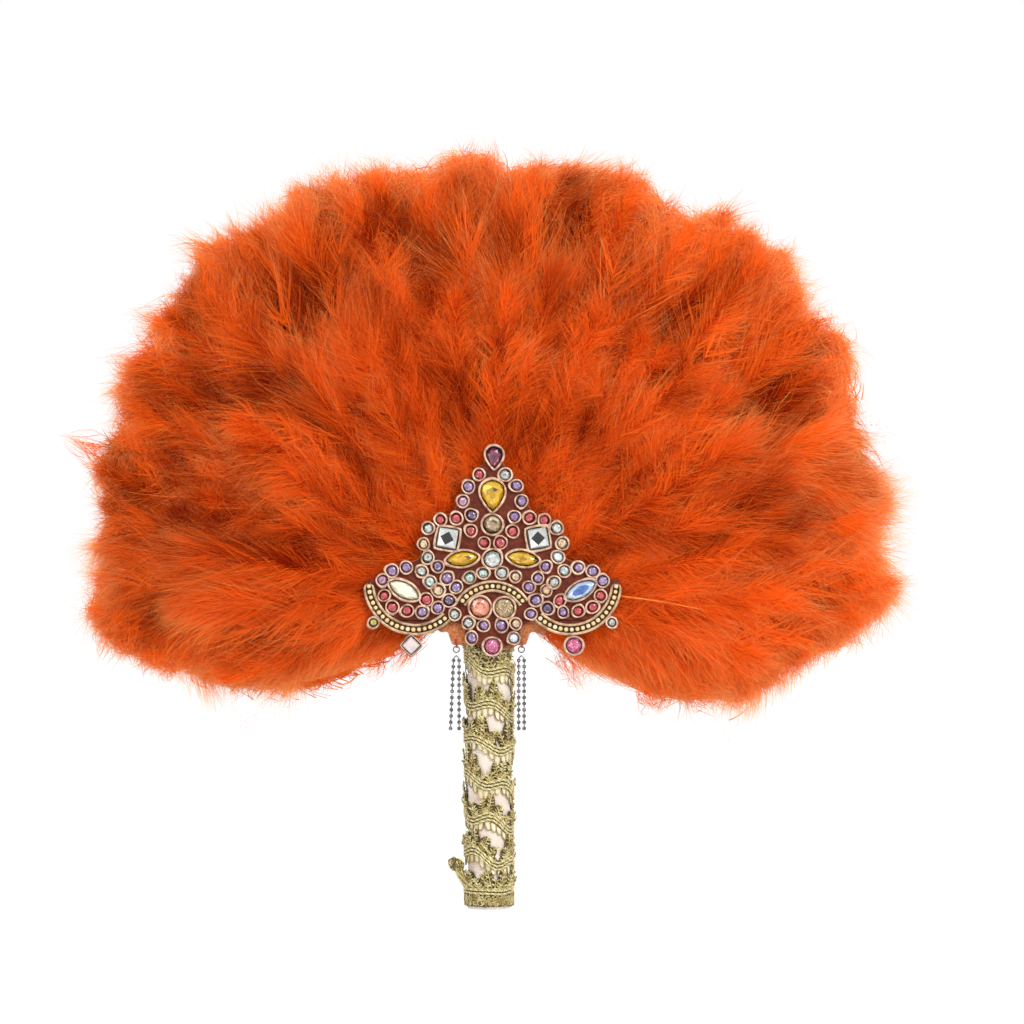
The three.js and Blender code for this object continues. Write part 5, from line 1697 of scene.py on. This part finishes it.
make_tufts(TUFTS, HANGING, outer_down)
make_quill(quill_horn)
make_applique()
make_rails()
make_backing()
make_board()
make_back_cover()
make_satin()
make_end_cap()
make_braid()
make_foot_band()
make_chain("left")
make_chain("right")
for node in ("handle_core", "hub_pin"):
    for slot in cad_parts[node].material_slots:
        slot.material = pale_wood


# Stage, light and camera

def white_for_the_eye(tree):
    """1 for camera, glossy and transmission rays."""
    path = tree.nodes.new("ShaderNodeLightPath")
    seen = path.outputs["Is Camera Ray"]
    for name in ("Is Glossy Ray", "Is Transmission Ray"):
        both = tree.nodes.new("ShaderNodeMath")
        both.operation = "MAXIMUM"
        tree.links.new(seen, both.inputs[0])
        tree.links.new(path.outputs[name], both.inputs[1])
        seen = both.outputs[0]
    return seen


WORLD_LIGHT = 0.7
FLOOR_HALF = 6.0  # metres, as all lengths of the stage
FLOOR_HEIGHT = -0.0006
FLOOR_GLOW = 1.14
FLOOR_WHITE = 0.8  # share of the glow in what the camera sees


def make_world():
    """Even light from all round, seen as plain white."""
    world = bpy.data.worlds.new("studio")
    bpy.context.scene.world = world
    world.use_nodes = True
    tree = world.node_tree
    light = tree.nodes["Background"]
    white = tree.nodes.new("ShaderNodeBackground")
    set_inputs(light, {"Color": (1, 1, 1, 1), "Strength": WORLD_LIGHT})
    set_inputs(white, {"Color": (1, 1, 1, 1), "Strength": 1.0})
    shaders_mixed(tree, white_for_the_eye(tree), light.outputs[0], white.outputs[0], "World Output")


def make_floor():
    """A pale floor that shows white and keeps a faint shadow."""
    made, tree, shader = new_material("floor")
    set_inputs(shader, {"Base Color": (0.9, 0.9, 0.9, 1), "Roughness": 0.9})
    glow = tree.nodes.new("ShaderNodeEmission")
    glow.inputs["Strength"].default_value = FLOOR_GLOW
    part = tree.nodes.new("ShaderNodeMath")
    part.operation = "MULTIPLY"
    part.inputs[1].default_value = FLOOR_WHITE
    tree.links.new(white_for_the_eye(tree), part.inputs[0])
    shaders_mixed(tree, part.outputs[0], shader.outputs["BSDF"], glow.outputs[0], "Material Output")
    mesh = bpy.data.meshes.new("floor")
    signs = ((-1, -1), (1, -1), (1, 1), (-1, 1))
    corners = [(x * FLOOR_HALF, y * FLOOR_HALF, FLOOR_HEIGHT) for x, y in signs]
    mesh.from_pydata(corners, [], [(0, 1, 2, 3)])
    mesh.materials.append(made)
    floor = new_object("floor", mesh)


def area_light(name, place, target, size, power):
    """A round lamp that faces a target."""
    lamp = bpy.data.lights.new(name, "AREA")
    lamp.shape = "DISK"
    lamp.size = size
    lamp.energy = power
    made = new_object(name, lamp)
    made.location = place
    way = np.array(target) - np.array(place)
    made.rotation_mode = "QUATERNION"
    made.rotation_quaternion = Vector(way).to_track_quat("-Z", "Y")


FRAME_WIDTH = 0.5837  # metres across the photograph at the fan
FRAME_CENTRE = (0.0131, 0.2257)
CAMERA_DISTANCE = 3.0


def make_camera():
    """A level camera far in front of the fan."""
    camera = bpy.data.cameras.new("camera")
    camera.lens = camera.sensor_width * CAMERA_DISTANCE / FRAME_WIDTH
    camera.clip_end = 100
    made = new_object("camera", camera)
    made.location = (FRAME_CENTRE[0], -CAMERA_DISTANCE, FRAME_CENTRE[1])
    made.rotation_euler = (math.pi / 2, 0, 0)
    bpy.context.scene.camera = made


make_world()
make_floor()
middle = (0, 0, 0.22)
area_light("key", (1.0, -1.6, 1.3), middle, 1.0, 30)
area_light("fill", (-1.3, -1.4, 0.6), middle, 1.2, 7)
area_light("rim", (0.4, 1.6, 1.2), middle, 1.0, 16)
make_camera()
bpy.context.scene.view_settings.view_transform = "Standard"
